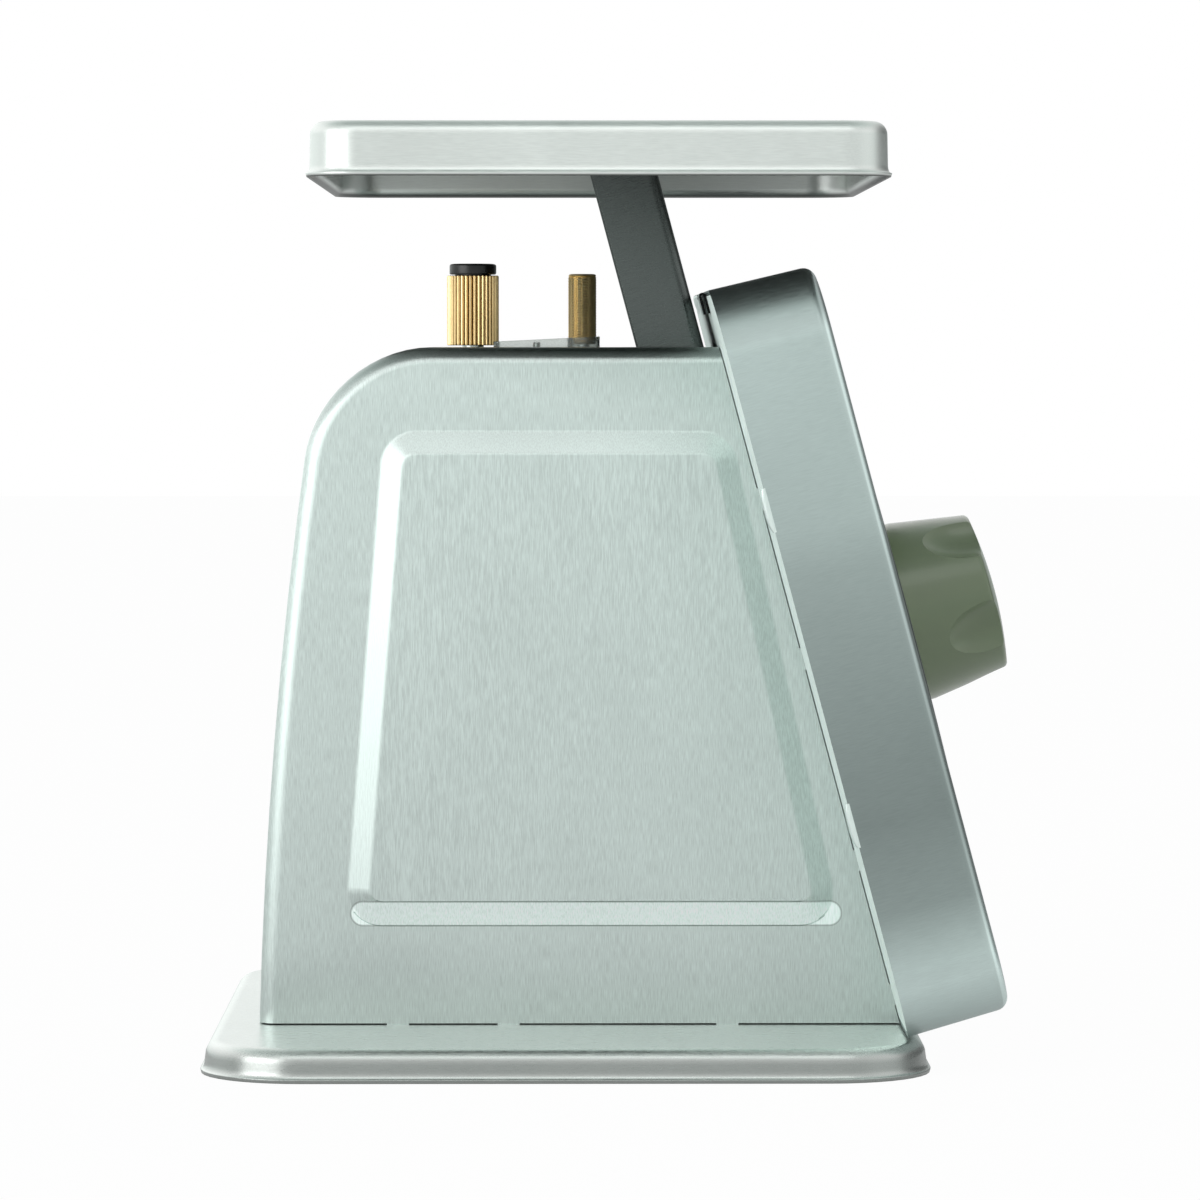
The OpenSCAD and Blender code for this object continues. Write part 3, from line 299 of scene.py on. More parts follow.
def drawn_dial(stops, edge_from, edge_to, edge_highlight):
    """Painted light and shade up the dial, from stops of place and tone, with a painted highlight band on the
    front edge and a darker front face.

    A colour ramp holds at most 1, so it holds half of each tone, and the edge's factor doubles it.
    """
    def tone(node):
        middle = Vector((DIAL.x - CENTRE, 0, DIAL.z)) * MM
        both = {0: node("TexCoord").outputs["Object"], 1: tuple(middle)}
        from_middle = node("VectorMath", both, operation="SUBTRACT").outputs[0]
        up = reach_along(node, from_middle, UP)
        forward = reach_along(node, from_middle, ALONG)
        reach = RAMP_REACH * MM
        halves = [(0.5 + 0.5 * at * MM / reach, (value / 2,) * 3) for at, value in stops]
        bands = ramped(node, spread(node, up, 0, 1, -reach, reach), halves)
        begin = spread(node, forward, 1.0, edge_highlight, edge_from * MM, (edge_from + 0.3) * MM)
        end = spread(node, forward, 2.0, 2 * FRONT_TONE / edge_highlight, edge_to * MM, (edge_to + 0.2) * MM)
        return maths(node, "MULTIPLY", bands, maths(node, "MULTIPLY", begin, end))

    return tone


print("the ramp spans", 2 * RAMP_REACH, "mm up the dial")

# %% [markdown]
# A painted highlight runs along the foot of each side panel of the hood, for the pale table that the
# lower border reflects: a flat bar with round ends, brighter than the rest, with a thin painted dark
# outline for the shade of its creases. It is drawn by distance. A point is measured
# from the bar's middle line, and that distance sets both the bright tone and the outline.

# %% Painted strip highlight
PANEL_LOW = 35.9
BORDER = 7.0
STRIP_LEFT, STRIP_RIGHT = -58.5, 75.2
STRIP_HIGHLIGHT, OUTLINE_SHADE = 1.62, 0.62
OUTLINE_CORE, OUTLINE_FADE = 0.12, 0.35
SIDE_INNER, SIDE_OUTER = 48.6, 49.2


def pressed_strip(node):
    """Painted highlight of the strip and painted shade of its outline, on the hood's two sides alone."""
    radius = (BORDER / 2 - 0.2) * MM
    middle = ((STRIP_LEFT + STRIP_RIGHT) / 2 - CENTRE) * MM
    half = (STRIP_RIGHT - STRIP_LEFT) / 2 * MM - radius
    x, y, z = node("SeparateXYZ", {0: node("TexCoord").outputs["Object"]}).outputs
    past_end = maths(node, "SUBTRACT", maths(node, "ABSOLUTE", maths(node, "SUBTRACT", x, middle)), half)
    off = maths(node, "MAXIMUM", past_end, 0.0)
    down = maths(node, "SUBTRACT", z, (PANEL_LOW + BORDER / 2) * MM)
    flat = node("CombineXYZ", {0: off, 1: down}).outputs[0]
    reach = node("VectorMath", {0: flat}, operation="LENGTH").outputs["Value"]
    strip = spread(node, reach, STRIP_HIGHLIGHT, 1.0, radius - 0.1 * MM, radius + 0.1 * MM)
    from_line = maths(node, "ABSOLUTE", maths(node, "SUBTRACT", reach, radius))
    line = spread(node, from_line, OUTLINE_SHADE, 1.0, OUTLINE_CORE * MM, OUTLINE_FADE * MM)
    both = maths(node, "MULTIPLY", strip, line)
    on_side = spread(node, maths(node, "ABSOLUTE", y), 0.0, 1.0, SIDE_INNER * MM, SIDE_OUTER * MM)
    return node("Mix", {"Factor": on_side, "A": 1.0, "B": both}).outputs["Result"]


print("strip length mm", round(STRIP_RIGHT - STRIP_LEFT, 1))

# %% [markdown]
# Each sheet piece gets a steel of its own. The grain runs up the hood, along the tray and the base,
# and along the pointer shaft on the housing and the post. The numbers are mostly how dark or bright
# the steel is and how sharply it shines. All are one stainless sheet, so the lighter and darker copies
# are painted light and shade: the tray, the base, the back plate and the folded tabs are lightened, the
# housing and the post darkened, and the cut ends of the hemmed tab are painted almost black, as shade.

# %% Steel finishes
STEEL = (0.54, 0.608, 0.585)
# Painted light and shade: lighter and darker copies of the one steel colour.
LIGHTENED_STEEL = (0.685, 0.72, 0.695)
DARKENED_STEEL = (0.43, 0.506, 0.49)
# Painted light and shade up the housing: place up the dial in mm, and tone.
DIAL_PAINTED_BANDS = (
    (-104, 1.0), (-91, 1.4), (-70, 0.69), (-46, 0.55), (-28, 0.61), (10, 0.8),
    (21, 0.87), (34, 1.06), (84, 1.22), (89, 0.8), (99, 0.62),
)
# Painted highlight: the strip along the foot of each side panel of the hood.
brushed_steel(
    "hood_steel", UPRIGHT, STEEL, roughness=0.4, streak=0.12, anisotropy=0.8, painted_shading_of=pressed_strip
)
# Painted shade: the tray darkens on faces that look down.
brushed_steel(
    "tray_steel", LENGTHWISE, LIGHTENED_STEEL, roughness=0.38, streak=0.04, anisotropy=0.3, cloud=0.05,
    painted_shading_of=facing_up(start=-0.6, end=-0.3, low=0.2)
)
# Painted shade: the base darkens on faces whose walls look sideways.
brushed_steel(
    "pan_steel", LENGTHWISE, LIGHTENED_STEEL, roughness=0.3, streak=0.04, anisotropy=0.4,
    painted_shading_of=facing_up(start=0.08, end=0.85, low=0.45)
)
# Painted light and shade on the housing: darkened steel, bands up its sides and a painted highlight band on
# its front edge.
brushed_steel(
    "housing_steel", SHAFTWISE, DARKENED_STEEL, roughness=0.33, streak=0.04, anisotropy=0.7, depth=0.02,
    painted_shading_of=drawn_dial(DIAL_PAINTED_BANDS, edge_from=26.7, edge_to=28.3, edge_highlight=1.3)
)
# Painted light: the back plate's steel is lightened nearly to white.
brushed_steel(
    "plate_painted_light", UPRIGHT, shade(STEEL, 1.55), roughness=0.5, streak=0.03, anisotropy=0.8, metallic=0.45
)
# Painted highlight: the folded tabs' steel is lightened.
brushed_steel(
    "tab_painted_light", UPRIGHT, shade(STEEL, 1.3), roughness=0.4, streak=0.04, anisotropy=0.5
)
# Painted shade: the hemmed tab's cut ends are nearly black.
brushed_steel(
    "cut_painted_shade", UPRIGHT, shade(STEEL, 0.02), roughness=0.5, streak=0.04, anisotropy=0.3
)
# Painted shade: the post's steel is darkened for the shade under the tray.
brushed_steel("post_steel", SHAFTWISE, shade(STEEL, 0.23), roughness=0.3, streak=0.14)
print("steel finishes", list(finishes))

# %% [markdown]
# Plated and turned metal has no long brush lines. Plated steel is smooth with a faint cloud,
# blued frame steel is darker and rougher, and brass is warm, with a fine grain and some tarnish.

# %% Other metals
def plain_metal(name, colour, roughness, scale=900.0, vary=0.06, tarnish=0.1):
    """Metal with a fine even grain and a cloud of tarnish, which dulls and darkens it."""
    shader, node, link = new_finish(name)
    fine = grained(node, (scale, scale, scale), detail=3.0)
    cloud = grained(node, (70, 70, 70), detail=4.0)
    base = varied(node, spread(node, fine, 0, 1), colour, vary)
    link(times_colour(node, base, spread(node, cloud, 1 - tarnish, 1.0)), "Base Color")
    link(spread(node, cloud, roughness + 0.07, roughness - 0.05), "Roughness")
    bump = node("Bump", {"Height": fine, "Strength": 0.1, "Distance": 0.00003})
    link(bump.outputs["Normal"], "Normal")
    shader.inputs["Metallic"].default_value = 1.0


plain_metal("plated_steel", (0.62, 0.64, 0.64), 0.22)
plain_metal("frame_steel", (0.36, 0.38, 0.385), 0.4, scale=500.0)
plain_metal("inner_brass", (0.66, 0.47, 0.2), 0.32, scale=700.0)
plain_metal("knob_brass", (1.0, 0.76, 0.4), 0.4, scale=1500.0, tarnish=0.05)
plain_metal("sleeve_brass", (0.90, 0.66, 0.33), 0.36, scale=1200.0, tarnish=0.08)
# Painted shade: a dark brass for the bottoms of the sleeve's grooves.
plain_metal("groove_shade_brass", (0.20, 0.115, 0.03), 0.5, vary=0.1, tarnish=0.2)
print("metal finishes", list(finishes))

# %% [markdown]
# Moulded plastic and rubber take a fine pebbled skin from the mould. Colour hardly varies, and the
# roughness varies a little with handling. The clip is clear nylon, milky from its rough surface.
# Paint has a finer skin. The lens is thin and flat, so it only lays a faint gloss over the dial:
# it is mostly see-through and bends no light, and the numbers behind it stay single.

# %% Plastics, rubber, paint and glass
def moulded(
    name, colour, roughness, pebble=1400.0, bump_size=0.00003, vary=0.05, coat=0.0, clear=0.0, solid=1.0
):
    """Plastic, rubber, paint or glass: coat adds a gloss, clear lets light in, solid hides what is behind."""
    shader, node, link = new_finish(name)
    skin = grained(node, (pebble, pebble, pebble), detail=2.0)
    cloud = grained(node, (45, 45, 45), detail=4.0)
    link(varied(node, spread(node, cloud, 0, 1), colour, vary), "Base Color")
    link(spread(node, cloud, roughness - 0.05, roughness + 0.06), "Roughness")
    bump = node("Bump", {"Height": skin, "Strength": 0.25, "Distance": bump_size})
    link(bump.outputs["Normal"], "Normal")
    shader.inputs["Coat Weight"].default_value = coat
    shader.inputs["Coat Roughness"].default_value = 0.2
    shader.inputs["Transmission Weight"].default_value = clear
    shader.inputs["Alpha"].default_value = solid


moulded("knob_plastic", (0.15, 0.203, 0.112), 0.36, coat=0.6)
moulded("cap_plastic", (0.004, 0.004, 0.004), 0.34)
moulded("black_rubber", (0.02, 0.02, 0.021), 0.6)
moulded("clip_nylon", (0.78, 0.82, 0.79), 0.26, clear=0.86)
moulded("dial_paint", (0.9, 0.9, 0.88), 0.45, pebble=2200.0, bump_size=0.00001, vary=0.02)
moulded("mark_paint", (0.015, 0.015, 0.018), 0.5, pebble=2200.0, bump_size=0.00001)
moulded(
    "pointer_paint", (0.35, 0.03, 0.02), 0.4, pebble=2200.0, bump_size=0.00001, coat=0.2
)
moulded(
    "lens_glass", (0.97, 0.98, 0.98), 0.07, pebble=60.0, bump_size=0.000002, vary=0.01, solid=0.1
)
print("finishes", len(finishes))

# %% [markdown]
# The record groups the pieces by finish. Each CAD piece takes the finish of its group, in the slots
# that it already has. Two groups have a finish of another name.

# %% Finishes of the CAD pieces
OTHER_NAMES = {"casing_steel": "plate_painted_light", "brass": "inner_brass"}
for entry in frame["record"]["subparts"]:
    node_object = frame["nodes"][entry["node"]]
    if not node_object.material_slots:
        node_object.data.materials.append(None)
    group = entry["material_slot"]
    for slot in node_object.material_slots:
        slot.material = finishes[OTHER_NAMES.get(group, group)]

# %% [markdown]
# Mesh helpers. Pieces are drawn in millimetres, then scaled to metres and moved to the middle of
# the scale. Bevel gets its settings written out, because the operator's defaults differ from the editor's.

# %% Mesh helpers
def bevel(bm, geom, size, segments, affect="EDGES"):
    bmesh.ops.bevel(
        bm, geom=geom, offset=size, offset_type="OFFSET", segments=segments, profile=0.5, affect=affect,
        material=-1, clamp_overlap=False,
    )
    bmesh.ops.remove_doubles(bm, verts=bm.verts, dist=TINY / 5)
    bm.normal_update()


def grown(result, kind):
    """The new vertices or edges that an extrusion made."""
    return [g for g in result["geom"] if isinstance(g, kind)]


def place(bm, matrix):
    bmesh.ops.transform(bm, matrix=matrix, verts=bm.verts)


def make_piece(name, bm, finish, body, replaces=(), smooth=40.0, wall=0.0, crease=0.0):
    """Turns a bmesh in millimetres into a piece that rides on a body.

    Edges that turn less than smooth degrees are shaded soft. wall is the sheet the piece is pressed
    from, and crease is how wide its sharp edges are rounded off.
    """
    bmesh.ops.remove_doubles(bm, verts=bm.verts, dist=TINY / 5)
    bmesh.ops.recalc_face_normals(bm, faces=bm.faces)
    bmesh.ops.translate(bm, vec=(-CENTRE, 0, 0), verts=bm.verts)
    bmesh.ops.scale(bm, vec=(MM, MM, MM), verts=bm.verts)
    bm.normal_update()
    for face in bm.faces:
        face.smooth = True
    for edge in bm.edges:
        if len(edge.link_faces) == 2:
            edge.smooth = edge.calc_face_angle() < math.radians(smooth)
    mesh = bpy.data.meshes.new(name)
    bm.to_mesh(mesh)
    bm.free()
    made = linked(name, mesh)
    mesh.materials.append(finishes[finish])
    if wall:
        sheet = made.modifiers.new("Sheet", "SOLIDIFY")
        sheet.thickness = wall * MM
        sheet.offset = -1
        sheet.use_even_offset = True
    if crease:
        soft = made.modifiers.new("Edges", "BEVEL")
        soft.width = crease * MM
        soft.segments = 3
        soft.limit_method = "ANGLE"
        soft.angle_limit = math.radians(18)
        soft.use_clamp_overlap = True
    even = made.modifiers.new("Normals", "WEIGHTED_NORMAL")
    even.keep_sharp = True
    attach(made, body)
    if replaces:
        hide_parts(*replaces)
    print(name, "faces", len(mesh.polygons))
    return made


print("pieces move by", -CENTRE, "mm along X and shrink to metres")

# %% [markdown]
# The tray, the base and the dial's housing are pressed the same way: a flat blank drawn over a
# block with rounded corners, so all three start as one pan. A cube gets its upright edges rounded,
# then its top edges. The open rim is then drawn out in steps into the flared lip.

# %% Pressed pan
EDGE_STEPS = 7
LIP_STEPS = 5


def outward(co, length, width, corner):
    """Level direction away from a rounded rectangle's straight sides and corner centres."""
    core_x, core_y = length / 2 - corner, width / 2 - corner
    off_x = co.x - max(-core_x, min(core_x, co.x))
    off_y = co.y - max(-core_y, min(core_y, co.y))
    return Vector((off_x, off_y, 0)).normalized()


def pressed_pan(length, width, corner, low, top, edge, flare, draft, drop=None, corner_steps=10):
    """A pan with a flared lip: flare is how far the lip reaches out, and drop is its height.

    draft is how far the walls lean in from the lip to the rounded edge, whose radius is edge.
    """
    drop = flare if drop is None else drop
    wall_low = low + drop
    bm = bmesh.new()
    bmesh.ops.create_cube(bm, size=1)
    bmesh.ops.scale(bm, vec=(length - 2 * flare, width - 2 * flare, top - wall_low), verts=bm.verts)
    bmesh.ops.translate(bm, vec=(0, 0, (top + wall_low) / 2), verts=bm.verts)
    upright = [e for e in bm.edges if abs(e.verts[0].co.z - e.verts[1].co.z) > 1]
    bevel(bm, upright, corner - flare, corner_steps)
    round_top = [e for e in bm.edges if all(v.co.z > top - TINY for v in e.verts)]
    bevel(bm, round_top, edge, EDGE_STEPS)
    for vert in bm.verts:
        share = min(1.0, (vert.co.z - wall_low) / (top - edge - wall_low))
        vert.co -= outward(vert.co, length, width, corner) * draft * share
    bmesh.ops.delete(bm, geom=[f for f in bm.faces if f.normal.z < -0.9], context="FACES")
    rim = [e for e in bm.edges if e.is_boundary]
    last_out, last_down = 0.0, 0.0
    for i in range(LIP_STEPS if flare else 0):
        angle = math.radians(90 * (i + 1) / LIP_STEPS)
        out, down = flare * (1 - math.cos(angle)), drop * math.sin(angle)
        lip = bmesh.ops.extrude_edge_only(bm, edges=rim)
        for vert in grown(lip, bmesh.types.BMVert):
            vert.co += outward(vert.co, length, width, corner) * (out - last_out)
            vert.co.z -= down - last_down
        rim = [e for e in grown(lip, bmesh.types.BMEdge) if e.is_boundary]
        last_out, last_down = out, down
    return bm


print("pans get", EDGE_STEPS, "steps round the edge and", LIP_STEPS, "in the lip")

# %% [markdown]
# The weighing platform: a shallow inverted tray that lifts off its four arms. The lip flares
# outwards, which stiffens the rim.

# %% Platform tray
TRAY_X = 8.8
tray_bm = pressed_pan(
    length=154.3, width=222, corner=14, low=239.2, top=252.8, edge=3.5, flare=1.1, draft=0.15, drop=2.0
)
place(tray_bm, Matrix.Translation((TRAY_X, 0, 0)))
make_piece(
    "weighing_tray", tray_bm, "tray_steel", "platform", ["platform_tray"], wall=SHEET
)

# %% [markdown]
# The base: the same kind of tray, wider, with large corners. It stands 1 mm above the table on
# four rubber feet, which stay as the CAD made them.

# %% Base pan
base_bm = pressed_pan(
    length=195.5, width=216, corner=28, low=1, top=8.9, edge=4, flare=1.2, draft=0.2, drop=2.4
)
make_piece("base_tray", base_bm, "pan_steel", "root", ["base_pan"], wall=SHEET)

# %% [markdown]
# The hood is bent and drawn from one sheet: a back that leans forward, a large top rear corner, and
# two flat sides with drawn edges. Its front is cut on the slope of the dial. These sizes give the
# curve of the back and the slope of the front at any height.

# %% Hood sizes
HOOD_FOOT = 9.3
HOOD_HALF = 50.0
HOOD_EDGE = 4.5
HOOD_CORNER = 35.0
HOOD_BACK = -83.65
LEAN_FOOT = math.radians(1.6)
LEAN_TOP = math.radians(7.8)
FRONT_GAP = -0.1
TANGENT_Z = HOOD_TOP - HOOD_CORNER + HOOD_CORNER * math.sin(LEAN_TOP)


def hood_back(z):
    """X of the hood's back wall, which leans forward more and more."""
    rise = TANGENT_Z - HOOD_FOOT
    t = (z - HOOD_FOOT) / rise
    more = math.tan(LEAN_TOP) - math.tan(LEAN_FOOT)
    return HOOD_BACK + rise * (math.tan(LEAN_FOOT) * t + more * t * t / 2)


def front_x(z, n=FRONT_GAP):
    """X of the sloping plane n in front of the dial's back plate, at height z."""
    return DIAL.x + (n - (z - DIAL.z) * math.sin(TILT)) / math.cos(TILT)


print("hood length at the foot", round(front_x(HOOD_FOOT) - HOOD_BACK, 1))

# %% [markdown]
# Half of the hood is made first. The side outline is a face with a few corners, extruded to the
# middle. Its large corner is rounded, its long edge is rounded by a bevel, and the open front, the
# foot and the cut through the middle are deleted.

# %% Half of the hood
def round_corner(bm, vert, radius, segments):
    """Rounds one corner of a flat face."""
    a, b = [e.other_vert(vert).co - vert.co for e in vert.link_edges]
    bevel(bm, [vert], radius / math.tan(a.angle(b) / 2), segments, "VERTICES")


def hood_half():
    bm = bmesh.new()
    back = [(hood_back(z), z) for z in (HOOD_FOOT + (TANGENT_Z - HOOD_FOOT) * i / 8 for i in range(9))]
    peak = (back[-1][0] + (HOOD_TOP - TANGENT_Z) * math.tan(LEAN_TOP), HOOD_TOP)
    outline = back + [peak, (front_x(HOOD_TOP), HOOD_TOP), (front_x(HOOD_FOOT), HOOD_FOOT)]
    verts = [bm.verts.new((x, -HOOD_HALF, z)) for x, z in outline]
    bm.faces.new(verts)
    round_corner(bm, verts[len(back)], HOOD_CORNER, 14)
    skin = bmesh.ops.extrude_face_region(bm, geom=list(bm.faces), use_keep_orig=True)
    bmesh.ops.translate(bm, vec=(0, HOOD_HALF, 0), verts=grown(skin, bmesh.types.BMVert))
    bmesh.ops.recalc_face_normals(bm, faces=bm.faces)
    long_edge = [
        e for e in bm.edges
        if all(v.co.y < TINY - HOOD_HALF for v in e.verts)
        and not all(v.co.z < HOOD_FOOT + TINY for v in e.verts)
        and not all(abs(depth_of(v.co) - FRONT_GAP) < TINY for v in e.verts)
    ]
    bevel(bm, long_edge, HOOD_EDGE, 7)
    gone = [f for f in bm.faces if f.normal.z < -0.99 or f.normal.dot(ALONG) > 0.99 or f.normal.y > 0.99]
    bmesh.ops.delete(bm, geom=gone, context="FACES")
    return bm


hood_bm = hood_half()
print("half of the hood, faces", len(hood_bm.faces))

# %% [markdown]
# Each side has a raised panel, pressed out of the sheet with a sloping border. The border is a
# short profile: it bends up, runs straight and bends back, so that both of its edges are soft.

# %% Panel border
BEND = 3.0
SLOPE = math.radians(21)
PANEL_CORNER = 10.0


def border_steps():
    """Pairs of width and rise: a bend, a straight slope, and a bend back."""
    bends = 4
    angles = [SLOPE * i / bends for i in range(bends + 1)]
    arc = [(BEND * math.sin(a), BEND * (1 - math.cos(a))) for a in angles]
    straight = BORDER - 2 * arc[-1][0]
    up = [(b[0] - a[0], b[1] - a[1]) for a, b in zip(arc, arc[1:])]
    return up + [(straight, straight * math.tan(SLOPE))] + up[::-1]


print("border rises", round(sum(rise for width, rise in border_steps()), 2), "mm over", BORDER, "mm")

# %% [markdown]
# Along the foot of the panel the real border is crisper. There the soft profile is straightened
# to one flat slope, with a thin steep crease above it and one below. The change fades out round
# the two lower corners, so that the border stays one unbroken ring.

# %% Crisp lower border
CREASE_RISE = 0.25
FADE_FROM, FADE_OVER = 0.45, 0.4


def crisp_border(bm, corners, low):
    """Straightens the lower border to a flat slope, with a thin steep crease above and below."""
    rows = border_steps()
    crease, rise = rows[0][0], sum(step[1] for step in rows)
    bottom = (Vector(corners[0]), Vector(corners[1]))
    sides = (Vector(corners[3]) - bottom[0], Vector(corners[2]) - bottom[1])
    ends = [
        at.x + sign * PANEL_CORNER / math.tan(Vector((sign, 0)).angle(side) / 2)
        for at, side, sign in zip(bottom, sides, (1, -1))
    ]

    def depth_and_share(co):
        """Depth inside the outline, and how far a point belongs to the lower side, from 0 to 1."""
        across = max(ends[0] - co.x, 0, co.x - ends[1])
        down = low + PANEL_CORNER - co.z
        reach = math.hypot(across, down)
        steep = (down / max(reach, TINY) - FADE_FROM) / FADE_OVER
        t = max(0.0, min(1.0, steep)) if down > 0 else 0.0
        return PANEL_CORNER - reach, t * t * (3 - 2 * t)

    for vert in bm.verts:
        depth, share = depth_and_share(vert.co)
        if share and -TINY < depth < BORDER + TINY and vert.co.y < TINY - HOOD_HALF:
            if depth < TINY:
                climb = 0.0
            elif depth > BORDER - TINY:
                climb = 1.0
            else:
                climb = CREASE_RISE + (1 - 2 * CREASE_RISE) * ((depth - crease) / (BORDER - 2 * crease))
            vert.co.y += (-HOOD_HALF - rise * climb - vert.co.y) * share


print("each crease takes", CREASE_RISE, "of the border's rise")

# %% [markdown]
# The panel starts as a four-cornered face in the hood's side. Its corners are rounded, the side is
# filled in round it, and a row of insets, each a little higher than the last, draws the border.

# %% Pressed panel
PANEL_HIGH = 171.2
MARGIN_REAR_LOW, MARGIN_FRONT_LOW = 22, 8.1
MARGIN_REAR_HIGH, MARGIN_FRONT_HIGH = 22.6, 2.3
BELOW_BEND = 20


def press_panel(bm):
    """Opens the flat side round the panel's outline and presses the panel out of it."""
    side = max(bm.faces, key=lambda f: f.calc_area() * (f.normal.y < -0.99))
    outer = list(side.edges)
    bmesh.ops.delete(bm, geom=[side], context="FACES_ONLY")
    corners = [
        (hood_back(PANEL_LOW) + MARGIN_REAR_LOW, PANEL_LOW),
        (front_x(PANEL_LOW) - MARGIN_FRONT_LOW, PANEL_LOW),
        (front_x(PANEL_HIGH) - MARGIN_FRONT_HIGH, PANEL_HIGH),
        (hood_back(PANEL_HIGH - BELOW_BEND) + MARGIN_REAR_HIGH, PANEL_HIGH),
    ]
    verts = [bm.verts.new((x, -HOOD_HALF, z)) for x, z in corners]
    panel = bm.faces.new(verts)
    if panel.normal.y > 0:
        panel.normal_flip()
    for vert in verts:
        round_corner(bm, vert, PANEL_CORNER, 9)
    flat = [f for f in bm.faces if all(abs(v.co.y + HOOD_HALF) < TINY for v in f.verts)]
    panel = max(flat, key=lambda f: f.calc_area())
    panel.normal_update()
    if panel.normal.y > 0:
        panel.normal_flip()
    inner = list(panel.edges)
    bmesh.ops.triangle_fill(bm, use_beauty=True, use_dissolve=False, normal=(0, -1, 0), edges=outer + inner)
    for width, rise in border_steps():
        bmesh.ops.inset_region(bm, faces=[panel], thickness=width, depth=rise, use_even_offset=True)
    print("panel stands", round(-panel.calc_center_median().y - HOOD_HALF, 2), "mm proud")
    crisp_border(bm, corners, PANEL_LOW)


press_panel(hood_bm)

# %% [markdown]
# The post comes up through a slot in the hood's top, which is open at the front. The top face is
# split along the slot's edges, and the piece between them is deleted. The half is then mirrored,
# and the whole is given the thickness of the sheet.

# %% Post slot and whole hood
SLOT_BACK = 14.6
SLOT_HALF = 26.5


def split_facing(bm, facing, planes):
    """Splits the faces that look one way along some planes, and gives each with its middle."""
    for point, normal in planes:
        flat = [f for f in bm.faces if f.normal.dot(facing) > 0.999]
        geom = flat + list({e for f in flat for e in f.edges}) + list({v for f in flat for v in f.verts})
        bmesh.ops.bisect_plane(bm, geom=geom, plane_co=point, plane_no=normal, dist=TINY / 10)
    return [(f, f.calc_center_median()) for f in bm.faces if f.normal.dot(facing) > 0.999]


def cut_post_slot(bm):
    """The slot in the hood's top for the post, open at the front."""
    planes = (((0, -SLOT_HALF, 0), (0, 1, 0)), ((SLOT_BACK, 0, 0), (1, 0, 0)))
    top = split_facing(bm, Vector((0, 0, 1)), planes)
    hole = [f for f, middle in top if middle.x > SLOT_BACK and middle.y > -SLOT_HALF]
    bmesh.ops.delete(bm, geom=hole, context="FACES")


cut_post_slot(hood_bm)
everything = list(hood_bm.verts) + list(hood_bm.edges) + list(hood_bm.faces)
bmesh.ops.mirror(hood_bm, geom=everything, matrix=Matrix.Identity(4), merge_dist=TINY, axis="Y")
make_piece("hood_shell", hood_bm, "hood_steel", "root", ["hood"], smooth=25, wall=SHEET)

# %% [markdown]
# Short tabs of the hood reach through slots in the base and in the back plate and lock it there.
# In the seam they show as breaks in the dark line.

# %% Locking tabs
TAB = 6.0
TAB_LOW = 5.5
TAB_FRONT = 2.2
FOOT_TABS_X = (-45.7, -15.5, 44.2)
FRONT_TABS_U = (43, -2, -59, -97)


def add_box(bm, low, high, matrix=Matrix.Identity(4)):
    """A box between two corners, added to the bmesh."""
    size = Vector(high) - Vector(low)
    middle = (Vector(high) + Vector(low)) / 2
    scale = Matrix.Diagonal((*size, 1))
    bmesh.ops.create_cube(bm, size=1, matrix=matrix @ Matrix.Translation(middle) @ scale)


tab_bm = bmesh.new()
lean = Matrix.Translation(DIAL) @ Matrix.Rotation(-TILT, 4, "Y")
for side in (-1, 1):
    near, far = sorted((side * HOOD_HALF, side * (HOOD_HALF - SHEET)))
    for x in FOOT_TABS_X:
        add_box(tab_bm, (x - TAB / 2, near, TAB_LOW), (x + TAB / 2, far, HOOD_FOOT))
    for u in FRONT_TABS_U:
        add_box(tab_bm, (FRONT_GAP, near, u - TAB / 2), (TAB_FRONT, far, u + TAB / 2), lean)
make_piece("hood_tabs", tab_bm, "hood_steel", "root")

# %% [markdown]
# The dial's housing is a deep pan that lies on its back: rounded square, drawn 28 mm deep, with a
# round opening in its flat front. The front face is taken off, a circle is set in its place and
# the two loops are filled. The circle's rim is rolled into a low bead and turned inwards.

# %% Dial housing
HOUSING_HALF = 103.0
HOUSING_DEPTH = 28.5
OPENING_R = 93.0
DROP = 1.7
PLATE_N = 0.2
FRONT_INSET = 0.8
BEAD = 2.6
BEAD_STEPS = (
    (0.3, 0.0), (0.35, 0.25), (0.4, 0.25), (0.45, 0.08), (0.4, -0.1), (0.3, -0.35), (0.2, -0.6), (0.15, -0.6),
)


def housing():
    bm = pressed_pan(
        length=2 * HOUSING_HALF, width=2 * HOUSING_HALF, corner=19, low=PLATE_N, top=HOUSING_DEPTH,
        edge=3.4, flare=0, draft=0.7, corner_steps=12
    )
    front = max(bm.faces, key=lambda f: f.calc_area() * (f.normal.z > 0.99))
    bmesh.ops.inset_region(bm, faces=[front], thickness=FRONT_INSET, use_even_offset=True)
    outer = list(front.edges)
    bmesh.ops.delete(bm, geom=[front], context="FACES_ONLY")
    ring = bmesh.ops.create_circle(
        bm, segments=160, radius=OPENING_R + BEAD, matrix=Matrix.Translation((-DROP, 0, HOUSING_DEPTH))
    )
    inner = list({e for v in ring["verts"] for e in v.link_edges})
    bmesh.ops.triangle_fill(bm, use_beauty=True, use_dissolve=False, normal=(0, 0, 1), edges=outer + inner)
    rim = [e for e in bm.edges if e.is_boundary and e.verts[0].co.z > HOUSING_DEPTH - TINY]
    for shrink, rise in BEAD_STEPS:
        lip = bmesh.ops.extrude_edge_only(bm, edges=rim)
        for vert in grown(lip, bmesh.types.BMVert):
            level = Vector((vert.co.x + DROP, vert.co.y, 0))
            vert.co -= level.normalized() * shrink - Vector((0, 0, rise))
        rim = [e for e in grown(lip, bmesh.types.BMEdge) if e.is_boundary]
    place(bm, shaft(0, DROP))
    return bm


make_piece(
    "dial_case", housing(), "housing_steel", "root", ["dial_housing"], smooth=30, wall=SHEET
)

